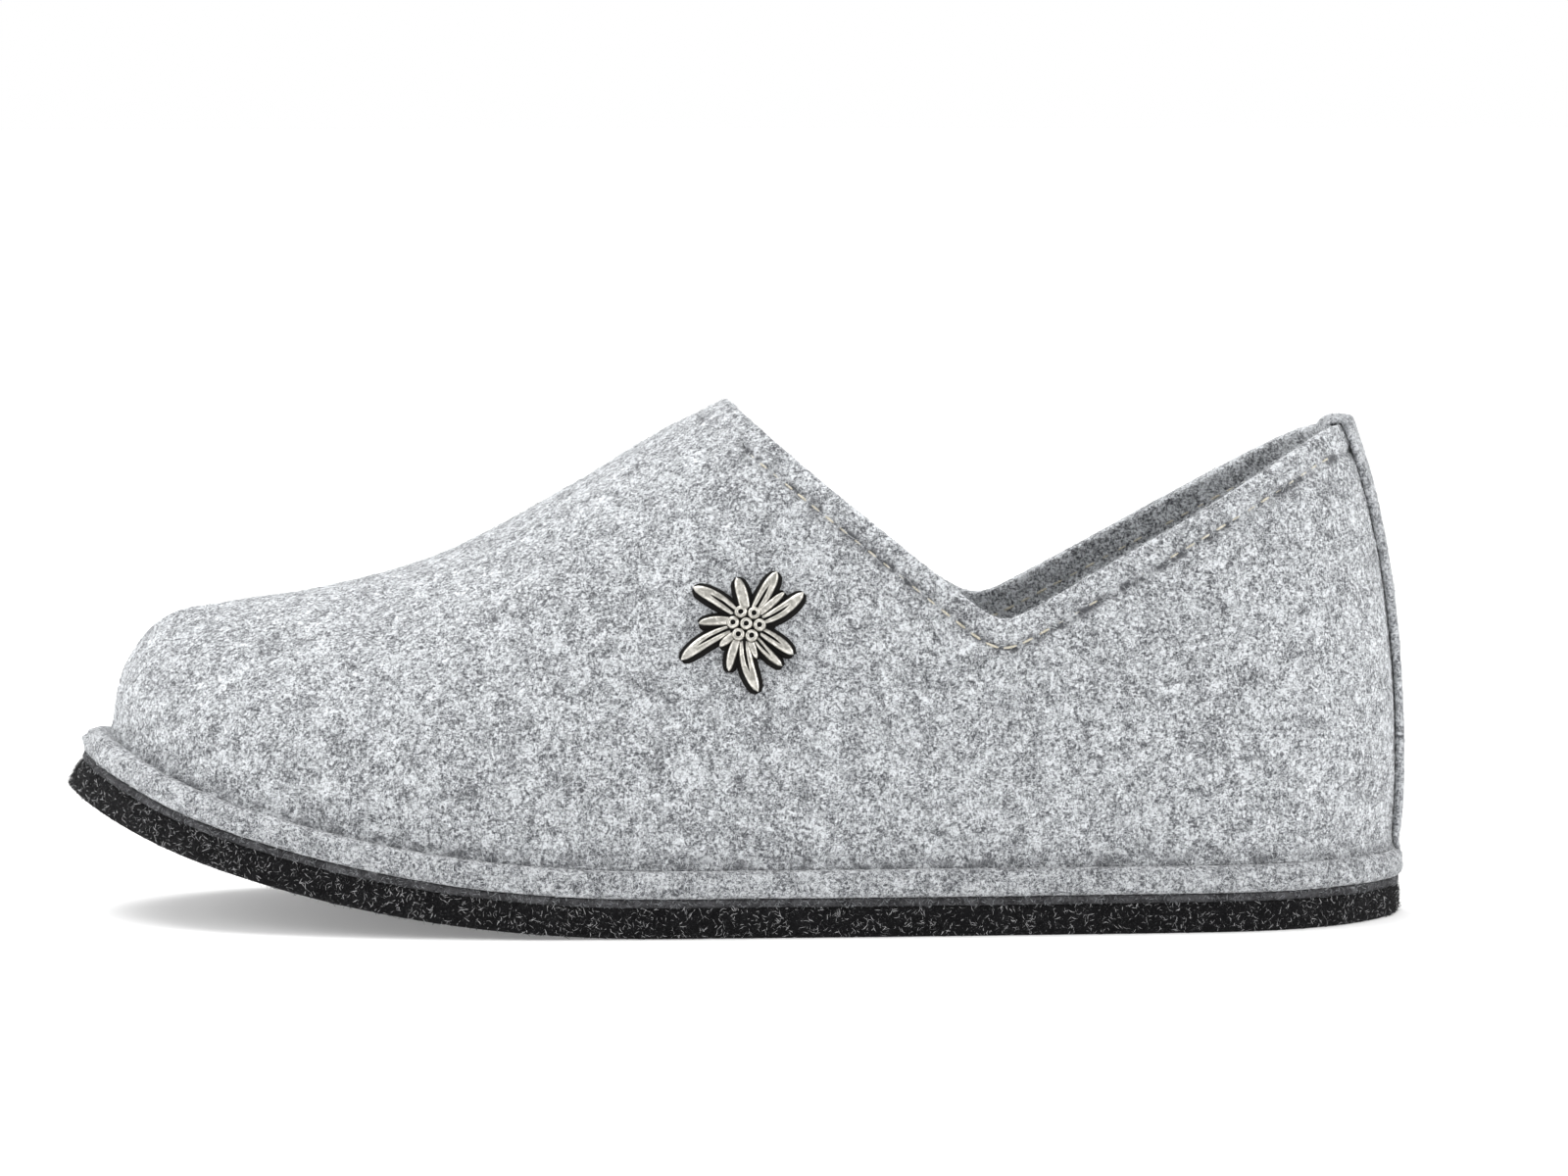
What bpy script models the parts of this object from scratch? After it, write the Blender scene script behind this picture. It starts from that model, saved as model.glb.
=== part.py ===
"""House slipper for the left foot: a moulded wool-felt upper on a felt sole.

Metres, +Z up. X runs along the shoe with the toe at -X and the heel at +X. The outer
(lateral) side is at -Y. The sole stands flat on Z = 0 from the ball to the heel, and its
toe is rolled up. Every layer follows one outline and one roll, so that the sizes below
can be changed one at a time.
"""

import math

import bmesh
import bpy
import numpy as np
from mathutils import Vector
from mathutils.bvhtree import BVHTree

# Whole shoe
OUTER_LENGTH = 0.268
BALL_WIDTH = 0.098
TOE_SPRING = 0.0237
INSTEP_HEIGHT = 0.1022
LATERAL_SIDE_HEIGHT = 0.0600
MEDIAL_SIDE_HEIGHT = 0.0604
MEDIAL_FRONT_SAG = 0.0022
HEEL_HEIGHT = 0.0995
MIDDLE_STATION = 0.503

# Sole layers, from the floor up
OUTSOLE_THICKNESS = 0.0060
MIDSOLE_THICKNESS = 0.0012
WELT_THICKNESS = 0.0053
INSOLE_RISE = 0.0035
INSOLE_DISH = 0.0015
INSOLE_SHOULDER = 0.007
INSOLE_EDGE = 0.0012
OUTSOLE_INSET = 0.0009
MIDSOLE_INSET = 0.0006
OUTSOLE_EDGE = 0.0006
WELT_EDGE = 0.0019

# Upper
FELT_THICKNESS = 0.003
TOE_LEDGE = 0.0058
SIDE_LEDGE = 0.0034
HEEL_LEDGE = 0.0028
WALL_SWELL = 0.0018
SWELL_LOWNESS = 0.6
MERIDIAN_FAN = 0.32
HEEL_ROUNDING = 0.0015
TOE_NOSE_LENGTH = 0.021
HEEL_LEAN_LENGTH = 0.034

# Back tape
TAPE_THICKNESS = 0.0015
TAPE_WIDTH = 0.014
TAPE_INSIDE_LENGTH = 0.026
TAPE_FOOT = 0.0012
TAPE_CROWN = 0.0009

# Ornament
ORNAMENT_SPAN = 0.0235
ORNAMENT_DEPTH = 0.0016
ORNAMENT_DISTANCE_FROM_TOE = 0.135
ORNAMENT_HEIGHT = 0.063
HUB_RADIUS = 0.0040
HUB_DEPTH = 0.0021
FLORET_RADIUS = 0.0013
FLORET_DEPTH = 0.0028
FLORET_RING_RADIUS = 0.0026

# Clearance between pieces that touch
SEAT_GAP = 0.0003

# Mesh fineness
HALF_STATIONS = 40
FRONT_MERIDIANS = 20
MOUTH_MERIDIANS = 25
WALL_ROWS = 13
TAPE_OUTSIDE_ROWS = 12
TAPE_INSIDE_ROWS = 4
TAPE_HALF_COLUMNS = 4

LATERAL = -1
MEDIAL = 1

# Outline of the welt seen from above. Station is a share of the length from the toe,
# lateral and medial are shares of the ball width on each side of the centre line.
OUTLINE = (
    # station, lateral, medial
    (0.00, -0.085, 0.085),
    (0.03, 0.150, 0.290),
    (0.08, 0.285, 0.400),
    (0.16, 0.395, 0.476),
    (0.26, 0.468, 0.500),
    (0.37, 0.500, 0.470),
    (0.50, 0.498, 0.386),
    (0.64, 0.486, 0.300),
    (0.78, 0.466, 0.262),
    (0.90, 0.420, 0.232),
    (0.965, 0.300, 0.140),
    (1.00, 0.085, -0.085),
)

# Crest line of the last, which the two side walls close over. Behind the throat it is
# the crest that the walls would reach if the mouth were not cut out.
CREST = (
    # station, height as a share of the instep height, offset to the medial side as a
    # share of the ball width, lateral fullness, medial fullness
    (0.00, 0.560, 0.075, 2.30, 2.50),
    (0.11, 0.599, 0.075, 2.25, 2.45),
    (0.20, 0.635, 0.070, 2.15, 2.35),
    (0.30, 0.717, 0.055, 2.05, 2.25),
    (0.40, 0.865, 0.035, 2.00, 2.20),
    (0.494, 1.000, 0.015, 2.05, 2.20),
    (0.60, 1.100, -0.030, 2.20, 2.30),
    (0.75, 1.140, -0.072, 2.40, 2.40),
    (0.90, 1.210, -0.085, 2.30, 2.30),
    (1.00, 1.230, -0.085, 2.30, 2.30),
)

# Mouth edge seen from the side: it falls from the throat to the lowest place, and rises
# from there to the heel. The front run of the medial side hangs a little.
COLLAR = {
    # side: station of the lowest place, its height, sag of the front run
    LATERAL: (0.690, LATERAL_SIDE_HEIGHT, 0.0),
    MEDIAL: (0.688, MEDIAL_SIDE_HEIGHT, MEDIAL_FRONT_SAG),
}
THROAT_STATION = 0.494
HEEL_TOP_STATION = 0.945

# Roll of the sole: flat behind this station, rising to the toe spring in front of it.
ROLL_STATION = 0.45
ROLL_POWER = 2.0

# Edelweiss petals: angle in degrees anticlockwise as seen from outside with the toe at
# the left, reach and width as shares of the span, and sideways curl as a share of reach.
PETALS = (
    # angle, reach, width, curl
    (127, 0.530, 0.140, 0.28),
    (90, 0.406, 0.125, 0.19),
    (58, 0.517, 0.145, 0.03),
    (40, 0.420, 0.085, 0.00),
    (8, 0.510, 0.135, 0.38),
    (-23, 0.454, 0.125, -0.20),
    (-62, 0.449, 0.095, 0.20),
    (-104, 0.530, 0.140, 0.42),
    (-128, 0.400, 0.100, 0.30),
    (-170, 0.585, 0.140, 0.32),
    (160, 0.382, 0.110, 0.16),
    (-80, 0.300, 0.080, 0.10),
    (-142, 0.290, 0.090, 0.00),
)
PETAL_ROWS = 6
PETAL_SIDES = 6
PETAL_ROOT = 0.16
PETAL_LAST = 0.94
PETAL_TAPER = 1.25
PETAL_ROUNDNESS = 0.75
PETAL_ROOT_WIDTH = 0.45
PETAL_THIN_SHARE = 0.45
PETAL_TIP_SHARE = 0.25
FLORETS_AROUND = 6
FLORET_START = -7


def remove_everything():
    for thing in list(bpy.data.objects):
        bpy.data.objects.remove(thing, do_unlink=True)


def make_collection(name):
    collection = bpy.data.collections.new(name)
    bpy.context.scene.collection.children.link(collection)
    return collection


def make_material(name, colour, roughness, metallic=0.0):
    material = bpy.data.materials.new(name)
    material.use_nodes = True
    shader = material.node_tree.nodes["Principled BSDF"]
    shader.inputs["Base Color"].default_value = (*colour, 1.0)
    shader.inputs["Roughness"].default_value = roughness
    shader.inputs["Metallic"].default_value = metallic
    material.diffuse_color = (*colour, 1.0)
    return material


def object_from_bmesh(name, shape, material, collection, closed=True):
    """Object made of a shape. A closed one has its faces turned outwards, and an open one
    keeps the way that its faces were built, since the wall of felt goes by it."""
    if closed:
        bmesh.ops.recalc_face_normals(shape, faces=shape.faces)
        if shape.calc_volume(signed=True) < 0:
            bmesh.ops.reverse_faces(shape, faces=shape.faces)
    mesh = bpy.data.meshes.new(name)
    shape.to_mesh(mesh)
    shape.free()
    mesh.materials.append(material)
    mesh.shade_smooth()
    mesh.set_sharp_from_angle(angle=math.radians(40))
    thing = bpy.data.objects.new(name, mesh)
    collection.objects.link(thing)
    return thing


class SmoothTable:
    """Natural cubic spline through the rows of a table, one value for each column."""

    def __init__(self, places, values):
        self.places = np.asarray(places, float)
        self.values = np.asarray(values, float)
        steps = np.diff(self.places)
        count = len(self.places)
        system = np.eye(count)
        right = np.zeros_like(self.values)
        for row in range(1, count - 1):
            system[row, row - 1] = steps[row - 1]
            system[row, row] = 2 * (steps[row - 1] + steps[row])
            system[row, row + 1] = steps[row]
            rise_after = (self.values[row + 1] - self.values[row]) / steps[row]
            rise_before = (self.values[row] - self.values[row - 1]) / steps[row - 1]
            right[row] = 6 * (rise_after - rise_before)
        self.bends = np.linalg.solve(system, right)

    def __call__(self, place):
        place = min(max(place, self.places[0]), self.places[-1])
        row = int(np.searchsorted(self.places, place, side="right")) - 1
        row = min(max(row, 0), len(self.places) - 2)
        step = self.places[row + 1] - self.places[row]
        after = (place - self.places[row]) / step
        before = 1 - after
        bend = (before**3 - before) * self.bends[row] + (after**3 - after) * self.bends[row + 1]
        return before * self.values[row] + after * self.values[row + 1] + bend * step**2 / 6


def turn_of(station):
    """Angle round the outline, 0 at the toe and pi at the heel, that lies at a station."""
    return math.acos(1 - 2 * station)


def closed_outline_table():
    """The outline as one smooth run: heel to toe on the medial side, then back."""
    turns = [turn_of(row[0]) for row in OUTLINE]
    medial = [(-turn, row[2]) for turn, row in zip(turns, OUTLINE)][::-1]
    lateral = [(turn, -row[1]) for turn, row in zip(turns, OUTLINE)][1:]
    half = medial + lateral
    before = [(place - 2 * math.pi, side) for place, side in half[-4:-1]]
    after = [(place + 2 * math.pi, side) for place, side in half[1:4]]
    rows = before + half + after
    return SmoothTable([place for place, _ in rows], [side for _, side in rows])


OUTLINE_SIDE = closed_outline_table()
CREST_ROWS = SmoothTable([row[0] for row in CREST], [row[1:] for row in CREST])


def x_of(station):
    return OUTER_LENGTH * (station - MIDDLE_STATION)


def station_of(x):
    return x / OUTER_LENGTH + MIDDLE_STATION


def outline_point(turn, side):
    """Point of the welt's outline on one side, at an angle round it."""
    return Vector((x_of((1 - math.cos(turn)) / 2), OUTLINE_SIDE(-side * turn) * BALL_WIDTH))


def inward_normal(turn, side):
    small = 1e-4
    along = outline_point(turn + small, side) - outline_point(turn - small, side)
    return Vector((along.y, -along.x)).normalized() * side


def inset_point(turn, side, inset):
    return outline_point(turn, side) + inward_normal(turn, side) * inset


def roll_height(x):
    reach = max(0.0, 1 - station_of(x) / ROLL_STATION)
    return TOE_SPRING * reach**ROLL_POWER


def roll_angle(x):
    small = 1e-4
    return math.atan((roll_height(x - small) - roll_height(x + small)) / (2 * small))


def on_sole(x, y, height):
    """Point at a height above the rolled sole, square to it."""
    angle = roll_angle(x)
    return Vector((x + height * math.sin(angle), y, roll_height(x) + height * math.cos(angle)))


MIDSOLE_BASE = OUTSOLE_THICKNESS + SEAT_GAP
WELT_BASE = MIDSOLE_BASE + MIDSOLE_THICKNESS + SEAT_GAP
WELT_TOP = WELT_BASE + WELT_THICKNESS
UPPER_BASE = WELT_TOP + SEAT_GAP


def ledge(turn):
    """How far the upper stands inside the edge of the welt."""
    at_toe = max(0.0, math.cos(turn)) ** 3
    at_heel = max(0.0, -math.cos(turn)) ** 3
    return SIDE_LEDGE + (TOE_LEDGE - SIDE_LEDGE) * at_toe + (HEEL_LEDGE - SIDE_LEDGE) * at_heel


def stations(count=HALF_STATIONS):
    """Angles round one side of the outline, close together at the toe and the heel."""
    return [math.pi * index / count for index in range(count + 1)]


def outline_ring(inset_of, height):
    """Closed ring of points: along the lateral side to the heel, back along the medial."""
    turns = stations()
    there = [(turn, LATERAL) for turn in turns]
    back = [(turn, MEDIAL) for turn in turns[-2:0:-1]]
    ring = []
    for turn, side in there + back:
        place = inset_point(turn, side, inset_of(turn))
        ring.append(on_sole(place.x, place.y, height))
    return ring


def add_ring(shape, points):
    return [shape.verts.new(point) for point in points]


def bridge(shape, lower, upper):
    count = len(lower)
    for index in range(count):
        after = (index + 1) % count
        shape.faces.new((lower[index], lower[after], upper[after], upper[index]))


def fill_across(shape, ring):
    """Closes a ring with strips that run straight across the shoe."""
    count = len(ring)
    half = count // 2
    shape.faces.new((ring[0], ring[1], ring[-1]))
    for index in range(1, half - 1):
        shape.faces.new((ring[index], ring[index + 1], ring[count - index - 1], ring[count - index]))
    shape.faces.new((ring[half - 1], ring[half], ring[half + 1]))


def plate(name, steps, material, collection):
    """Sheet that follows the sole. Steps are (inset, height) from its bottom to its top."""
    shape = bmesh.new()
    rings = []
    for inset, height in steps:
        rings.append(add_ring(shape, outline_ring(lambda turn: inset, height)))
    for lower, upper in zip(rings, rings[1:]):
        bridge(shape, lower, upper)
    fill_across(shape, rings[0])
    fill_across(shape, rings[-1])
    return object_from_bmesh(name, shape, material, collection)


def make_outsole(material, collection):
    inset = OUTSOLE_INSET
    edge = OUTSOLE_EDGE
    steps = (
        (inset + edge, 0.0),
        (inset, edge),
        (inset, OUTSOLE_THICKNESS),
    )
    return plate("outsole", steps, material, collection)


def make_midsole(material, collection):
    top = MIDSOLE_BASE + MIDSOLE_THICKNESS
    steps = ((MIDSOLE_INSET, MIDSOLE_BASE), (MIDSOLE_INSET, top))
    return plate("midsole", steps, material, collection)


def make_welt(material, collection):
    """Ring with a rounded outer edge. Its inner edge lies flush with the upper's lining."""

    def lining(turn):
        return ledge(turn) + FELT_THICKNESS

    outer = []
    for angle in (math.radians(-90), math.radians(-45), 0.0):
        rise = WELT_EDGE * (1 + math.sin(angle))
        outer.append((WELT_EDGE * (1 - math.cos(angle)), WELT_BASE + rise))
    for inset, height in list(reversed(outer)):
        outer.append((inset, WELT_BASE + WELT_TOP - height))
    shape = bmesh.new()
    rings = [add_ring(shape, outline_ring(lining, WELT_BASE))]
    for inset, height in outer:
        rings.append(add_ring(shape, outline_ring(lambda turn: inset, height)))
    rings.append(add_ring(shape, outline_ring(lining, WELT_TOP)))
    for lower, upper in zip(rings, rings[1:]):
        bridge(shape, lower, upper)
    bridge(shape, rings[-1], rings[0])
    return object_from_bmesh("welt", shape, material, collection)


def make_insole(material, collection):
    """Footbed that fills the welt and is dished for the foot."""
    top = WELT_TOP + INSOLE_RISE

    def inside_wall(extra):
        return lambda turn: ledge(turn) + FELT_THICKNESS + SEAT_GAP + extra

    steps = (
        (0.0, WELT_BASE),
        (0.0, top - INSOLE_EDGE),
        (INSOLE_EDGE, top),
        (INSOLE_SHOULDER, top - INSOLE_DISH / 2),
        (2 * INSOLE_SHOULDER, top - INSOLE_DISH),
    )
    shape = bmesh.new()
    rings = [add_ring(shape, outline_ring(inside_wall(extra), height)) for extra, height in steps]
    for lower, upper in zip(rings, rings[1:]):
        bridge(shape, lower, upper)
    fill_across(shape, rings[0])
    fill_across(shape, rings[-1])
    return object_from_bmesh("insole", shape, material, collection)


def crest_place(turn):
    """Place of the crest that the meridian from this angle climbs to, in plan."""
    toe_base = x_of(0) + TOE_LEDGE
    heel_base = x_of(1) - HEEL_LEDGE
    share = (1 - MERIDIAN_FAN) * (1 - math.cos(turn)) / 2 + MERIDIAN_FAN * turn / math.pi
    start = toe_base + TOE_NOSE_LENGTH
    end = heel_base - HEEL_LEAN_LENGTH
    x = start + (end - start) * share
    return Vector((x, CREST_ROWS(station_of(x))[1] * BALL_WIDTH))


def wall_point(turn, side, climb):
    """Outer face of the upper. Climb is 0 at the welt and 1 at the crest of the last."""
    base = inset_point(turn, side, ledge(turn))
    foot = on_sole(base.x, base.y, UPPER_BASE)
    crest = crest_place(turn)
    crest_row = CREST_ROWS(station_of(crest.x))
    fullness = crest_row[2] if side == LATERAL else crest_row[3]
    angle = climb * math.pi / 2
    inward = 1 - max(0.0, math.cos(angle)) ** (2 / fullness)
    upward = math.sin(angle) ** (2 / fullness)
    place = Vector((foot.x, foot.y)).lerp(crest, inward)
    swell = WALL_SWELL * math.sin(math.pi * upward**SWELL_LOWNESS)
    place -= inward_normal(turn, side) * swell
    top = CREST_ROWS(station_of(place.x))[0] * INSTEP_HEIGHT
    return Vector((place.x, place.y, foot.z + (top - foot.z) * upward))


def collar_height(x, side):
    """Height of the mouth's edge on one side, seen from the side."""
    low_station, low_height, sag = COLLAR[side]
    throat = x_of(THROAT_STATION)
    low = x_of(low_station)
    heel = x_of(HEEL_TOP_STATION)
    if x < low:
        fall = (low - x) / (low - throat)
        hang = sag * math.sin(math.pi * min(fall, 1.0))
        return low_height + (INSTEP_HEIGHT - low_height) * fall - hang
    below = (HEEL_HEIGHT - low_height) * (1 - (x - low) / (heel - low))
    return HEEL_HEIGHT - HEEL_ROUNDING * math.log1p(math.exp(below / HEEL_ROUNDING))


def collar_climb(turn, side):
    """Climb at which a meridian meets the mouth's edge, or 1 in front of the throat."""
    end = wall_point(turn, side, 1.0)
    if end.z <= collar_height(end.x, side):
        return 1.0
    low, high = 0.05, 1.0
    for _ in range(40):
        middle = (low + high) / 2
        point = wall_point(turn, side, middle)
        if point.z < collar_height(point.x, side):
            low = middle
        else:
            high = middle
    return low


def throat_turn():
    """Angle of the meridian that reaches the crest right at the throat."""
    low, high = 0.2, math.pi
    for _ in range(40):
        middle = (low + high) / 2
        if wall_point(middle, LATERAL, 1.0).z <= collar_height(crest_place(middle).x, LATERAL):
            low = middle
        else:
            high = middle
    return low


def upper_turns():
    """Angles of the upper's meridians. They crowd together just behind the throat."""
    throat = throat_turn()
    turns = [throat * index / FRONT_MERIDIANS for index in range(FRONT_MERIDIANS)]
    for index in range(MOUTH_MERIDIANS + 1):
        share = index / MOUTH_MERIDIANS
        turns.append(throat + (math.pi - throat) * share**2 * (3 - share) / 2)
    return turns


def make_upper(material, collection):
    """Open outer surface in one piece, made a wall of felt by Solidify."""
    turns = upper_turns()
    throat_index = FRONT_MERIDIANS
    last = len(turns) - 1
    shape = bmesh.new()
    columns = {}
    for index, turn in enumerate(turns):
        for side in (LATERAL, MEDIAL):
            if side == MEDIAL and index in (0, last):
                columns[index, side] = columns[index, LATERAL]
                continue
            top = 1.0 if index <= throat_index else collar_climb(turn, side)
            column = []
            for row in range(WALL_ROWS + 1):
                closed = row == WALL_ROWS and index <= throat_index and side == MEDIAL
                if closed:
                    column.append(columns[index, LATERAL][-1])
                else:
                    column.append(shape.verts.new(wall_point(turn, side, top * row / WALL_ROWS)))
            columns[index, side] = column
    for side in (LATERAL, MEDIAL):
        for index in range(last):
            here = columns[index, side]
            after = columns[index + 1, side]
            for row in range(WALL_ROWS):
                corners = (here[row], after[row], after[row + 1], here[row + 1])
                shape.faces.new(corners if side == LATERAL else corners[::-1])
    upper = object_from_bmesh("upper", shape, material, collection, closed=False)
    wall = upper.modifiers.new("felt wall", "SOLIDIFY")
    wall.thickness = FELT_THICKNESS
    wall.offset = -1
    wall.use_even_offset = True
    wall.use_rim = True
    return upper


def wall_normal(turn, side, climb):
    """Outward normal of the upper's outer face."""
    small = 2e-3
    along = wall_point(turn + small, side, climb) - wall_point(turn - small, side, climb)
    up = wall_point(turn, side, climb + small) - wall_point(turn, side, max(0.0, climb - small))
    return up.cross(along).normalized() * side


def turn_beside_seam(distance, climb):
    """Angle of the meridian that runs at a distance from the back seam at one climb."""
    small = 1e-2
    step = wall_point(math.pi - small, LATERAL, climb) - wall_point(math.pi, LATERAL, climb)
    return math.pi - small * distance / step.length


def rim_point(turn, side):
    return wall_point(turn, side, collar_climb(turn, side))


def tape_line(distance, side):
    """Inner face of the tape at a distance from the seam, from the welt over the rim."""
    foot_climb = 0.0
    while wall_point(math.pi, side, foot_climb).z < UPPER_BASE + TAPE_FOOT:
        foot_climb += 1e-3
    top = 1.0
    for _ in range(4):
        top = collar_climb(turn_beside_seam(distance, top), side)
    line = []
    for row in range(TAPE_OUTSIDE_ROWS + 1):
        climb = foot_climb + (top - foot_climb) * row / TAPE_OUTSIDE_ROWS
        turn = turn_beside_seam(distance, climb)
        line.append(wall_point(turn, side, climb) + wall_normal(turn, side, climb) * SEAT_GAP)
    turn = turn_beside_seam(distance, top)
    rim = wall_point(turn, side, top)
    outward = wall_normal(turn, side, top)
    small = 1e-2
    along = rim_point(turn + small, side) - rim_point(turn - small, side)
    upward = along.cross(outward).normalized() * side
    middle = rim - outward * FELT_THICKNESS / 2
    radius = FELT_THICKNESS / 2 + SEAT_GAP
    for angle in (math.radians(30 * step) for step in range(1, 6)):
        line.append(middle + outward * radius * math.cos(angle) + upward * TAPE_CROWN * math.sin(angle))
    inside_climb = TAPE_INSIDE_LENGTH / HEEL_HEIGHT
    for row in range(TAPE_INSIDE_ROWS + 1):
        climb = top - inside_climb * row / TAPE_INSIDE_ROWS
        turn = turn_beside_seam(distance, climb)
        depth = FELT_THICKNESS + SEAT_GAP
        line.append(wall_point(turn, side, climb) - wall_normal(turn, side, climb) * depth)
    return line


def make_heel_tape(material, collection):
    """Strip over the back seam, folded over the top of the heel and down inside."""
    distances = [TAPE_WIDTH / 2 * column / TAPE_HALF_COLUMNS for column in range(TAPE_HALF_COLUMNS + 1)]
    across = [(distance, LATERAL) for distance in reversed(distances)]
    across += [(distance, MEDIAL) for distance in distances[1:]]
    shape = bmesh.new()
    strips = []
    for distance, side in across:
        strips.append([shape.verts.new(point) for point in tape_line(distance, side)])
    for here, after in zip(strips, strips[1:]):
        for row in range(len(here) - 1):
            shape.faces.new((here[row], after[row], after[row + 1], here[row + 1]))
    tape = object_from_bmesh("heel_tape", shape, material, collection, closed=False)
    wall = tape.modifiers.new("tape wall", "SOLIDIFY")
    wall.thickness = TAPE_THICKNESS
    wall.offset = 1
    wall.use_even_offset = True
    return tape


def wall_at(x, height):
    """Angle and climb of the point of the lateral wall at a place along it and a height."""

    def climb_at(turn):
        low, high = 0.0, 1.0
        for _ in range(30):
            middle = (low + high) / 2
            if wall_point(turn, LATERAL, middle).z < height:
                low = middle
            else:
                high = middle
        return low

    low, high = 0.0, math.pi
    for _ in range(30):
        middle = (low + high) / 2
        if wall_point(middle, LATERAL, climb_at(middle)).x < x:
            low = middle
        else:
            high = middle
    return low, climb_at(low)


class WallFrame:
    """Places flat shapes on the lateral wall: across to the heel, up, and out of it."""

    def __init__(self, x, height, upper):
        turn, climb = wall_at(x, height)
        self.origin = wall_point(turn, LATERAL, climb)
        self.out = wall_normal(turn, LATERAL, climb)
        self.right = (Vector((1, 0, 0)) - self.out * self.out.x).normalized()
        self.up = self.out.cross(self.right)
        graph = bpy.context.evaluated_depsgraph_get()
        self.wall = BVHTree.FromObject(upper, graph)

    def __call__(self, right, up, height):
        place = self.origin + self.right * right + self.up * up
        start = place + self.out * ORNAMENT_SPAN
        hit = self.wall.ray_cast(start, -self.out)[0]
        surface = place if hit is None else hit
        return surface + self.out * (height + SEAT_GAP)


def petal(on_wall, angle, reach, width, curl):
    """One leaf, thick in the middle, that bends sideways towards its tip."""
    along = Vector((math.cos(math.radians(angle)), math.sin(math.radians(angle))))
    across = Vector((-along.y, along.x))
    length = reach * ORNAMENT_SPAN
    shape = bmesh.new()
    rings = []
    for row in range(PETAL_ROWS):
        share = PETAL_ROOT + (PETAL_LAST - PETAL_ROOT) * row / (PETAL_ROWS - 1)
        middle = along * length * share + across * curl * length * share**2
        leaf = max(0.0, math.sin(math.pi * share**PETAL_TAPER)) ** PETAL_ROUNDNESS
        narrowest = PETAL_ROOT_WIDTH * max(0.0, 1 - share)
        half = width * ORNAMENT_SPAN / 2 * max(leaf, narrowest)
        depth = ORNAMENT_DEPTH * (PETAL_THIN_SHARE + (1 - PETAL_THIN_SHARE) * leaf)
        ring = []
        for step in range(PETAL_SIDES):
            turn = 2 * math.pi * step / PETAL_SIDES
            place = middle + across * half * math.cos(turn)
            height = depth * (0.5 + 0.5 * math.sin(turn))
            ring.append(shape.verts.new(on_wall(place.x, place.y, height)))
        rings.append(ring)
    for lower, upper in zip(rings, rings[1:]):
        bridge(shape, lower, upper)
    shape.faces.new(rings[0])
    end = along * length + across * curl * length
    tip = shape.verts.new(on_wall(end.x, end.y, PETAL_TIP_SHARE * ORNAMENT_DEPTH))
    last = rings[-1]
    for index in range(PETAL_SIDES):
        shape.faces.new((last[index], last[(index + 1) % PETAL_SIDES], tip))
    return shape


def button(on_wall, right, up, radius, height, segments, rings):
    """Domed button standing on the wall, from a squashed sphere."""
    shape = bmesh.new()
    bmesh.ops.create_uvsphere(shape, u_segments=segments, v_segments=rings, radius=1.0)
    for point in shape.verts:
        place = (right + point.co.x * radius, up + point.co.y * radius)
        point.co = on_wall(*place, height * (0.5 + 0.5 * point.co.z))
    return shape


def join_solids(first, others):
    """Joins the other objects into the first with Boolean unions, and removes them.

    The exact solver leaves loose shells where many thin petals meet on the hub, so that
    the manifold one is used.
    """
    for other in others:
        union = first.modifiers.new("join", "BOOLEAN")
        union.operation = "UNION"
        union.solver = "MANIFOLD"
        union.object = other
        bpy.context.view_layer.update()
        graph = bpy.context.evaluated_depsgraph_get()
        first.data = bpy.data.meshes.new_from_object(first.evaluated_get(graph))
        first.modifiers.clear()
        bpy.data.objects.remove(other, do_unlink=True)
    return first


def make_ornament(material, collection, upper):
    """Cast edelweiss: petals round a hub with a ring of florets about a middle one."""
    on_wall = WallFrame(x_of(0) + ORNAMENT_DISTANCE_FROM_TOE, ORNAMENT_HEIGHT, upper)
    hub = button(on_wall, 0.0, 0.0, HUB_RADIUS, HUB_DEPTH, 16, 8)
    first = object_from_bmesh("ornament", hub, material, collection)
    pieces = [petal(on_wall, *row) for row in PETALS]
    places = [(0.0, 0.0)]
    for index in range(FLORETS_AROUND):
        angle = math.radians(FLORET_START + 360 * index / FLORETS_AROUND)
        places.append((FLORET_RING_RADIUS * math.cos(angle), FLORET_RING_RADIUS * math.sin(angle)))
    for right, up in places:
        pieces.append(button(on_wall, right, up, FLORET_RADIUS, FLORET_DEPTH, 10, 6))
    others = [object_from_bmesh("petal", piece, material, collection) for piece in pieces]
    return join_solids(first, others)


def build():
    remove_everything()
    slipper = make_collection("house_slipper")
    felt = make_material("felt_light_grey", (0.56, 0.58, 0.60), 0.95)
    dark = make_material("felt_dark_grey", (0.085, 0.085, 0.09), 0.9)
    black = make_material("felt_black", (0.018, 0.018, 0.020), 0.92)
    silver = make_material("antique_silver", (0.50, 0.48, 0.43), 0.38, 1.0)
    make_outsole(black, slipper)
    make_midsole(dark, slipper)
    make_welt(felt, slipper)
    make_insole(felt, slipper)
    upper = make_upper(felt, slipper)
    make_heel_tape(felt, slipper)
    make_ornament(silver, slipper, upper)


build()
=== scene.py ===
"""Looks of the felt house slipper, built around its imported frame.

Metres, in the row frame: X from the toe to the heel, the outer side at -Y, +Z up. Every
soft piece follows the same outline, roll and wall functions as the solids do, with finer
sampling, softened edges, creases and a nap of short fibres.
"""

import math

import bmesh
import bpy
import numpy as np
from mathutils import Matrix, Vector, noise
from mathutils.bvhtree import BVHTree


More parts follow.
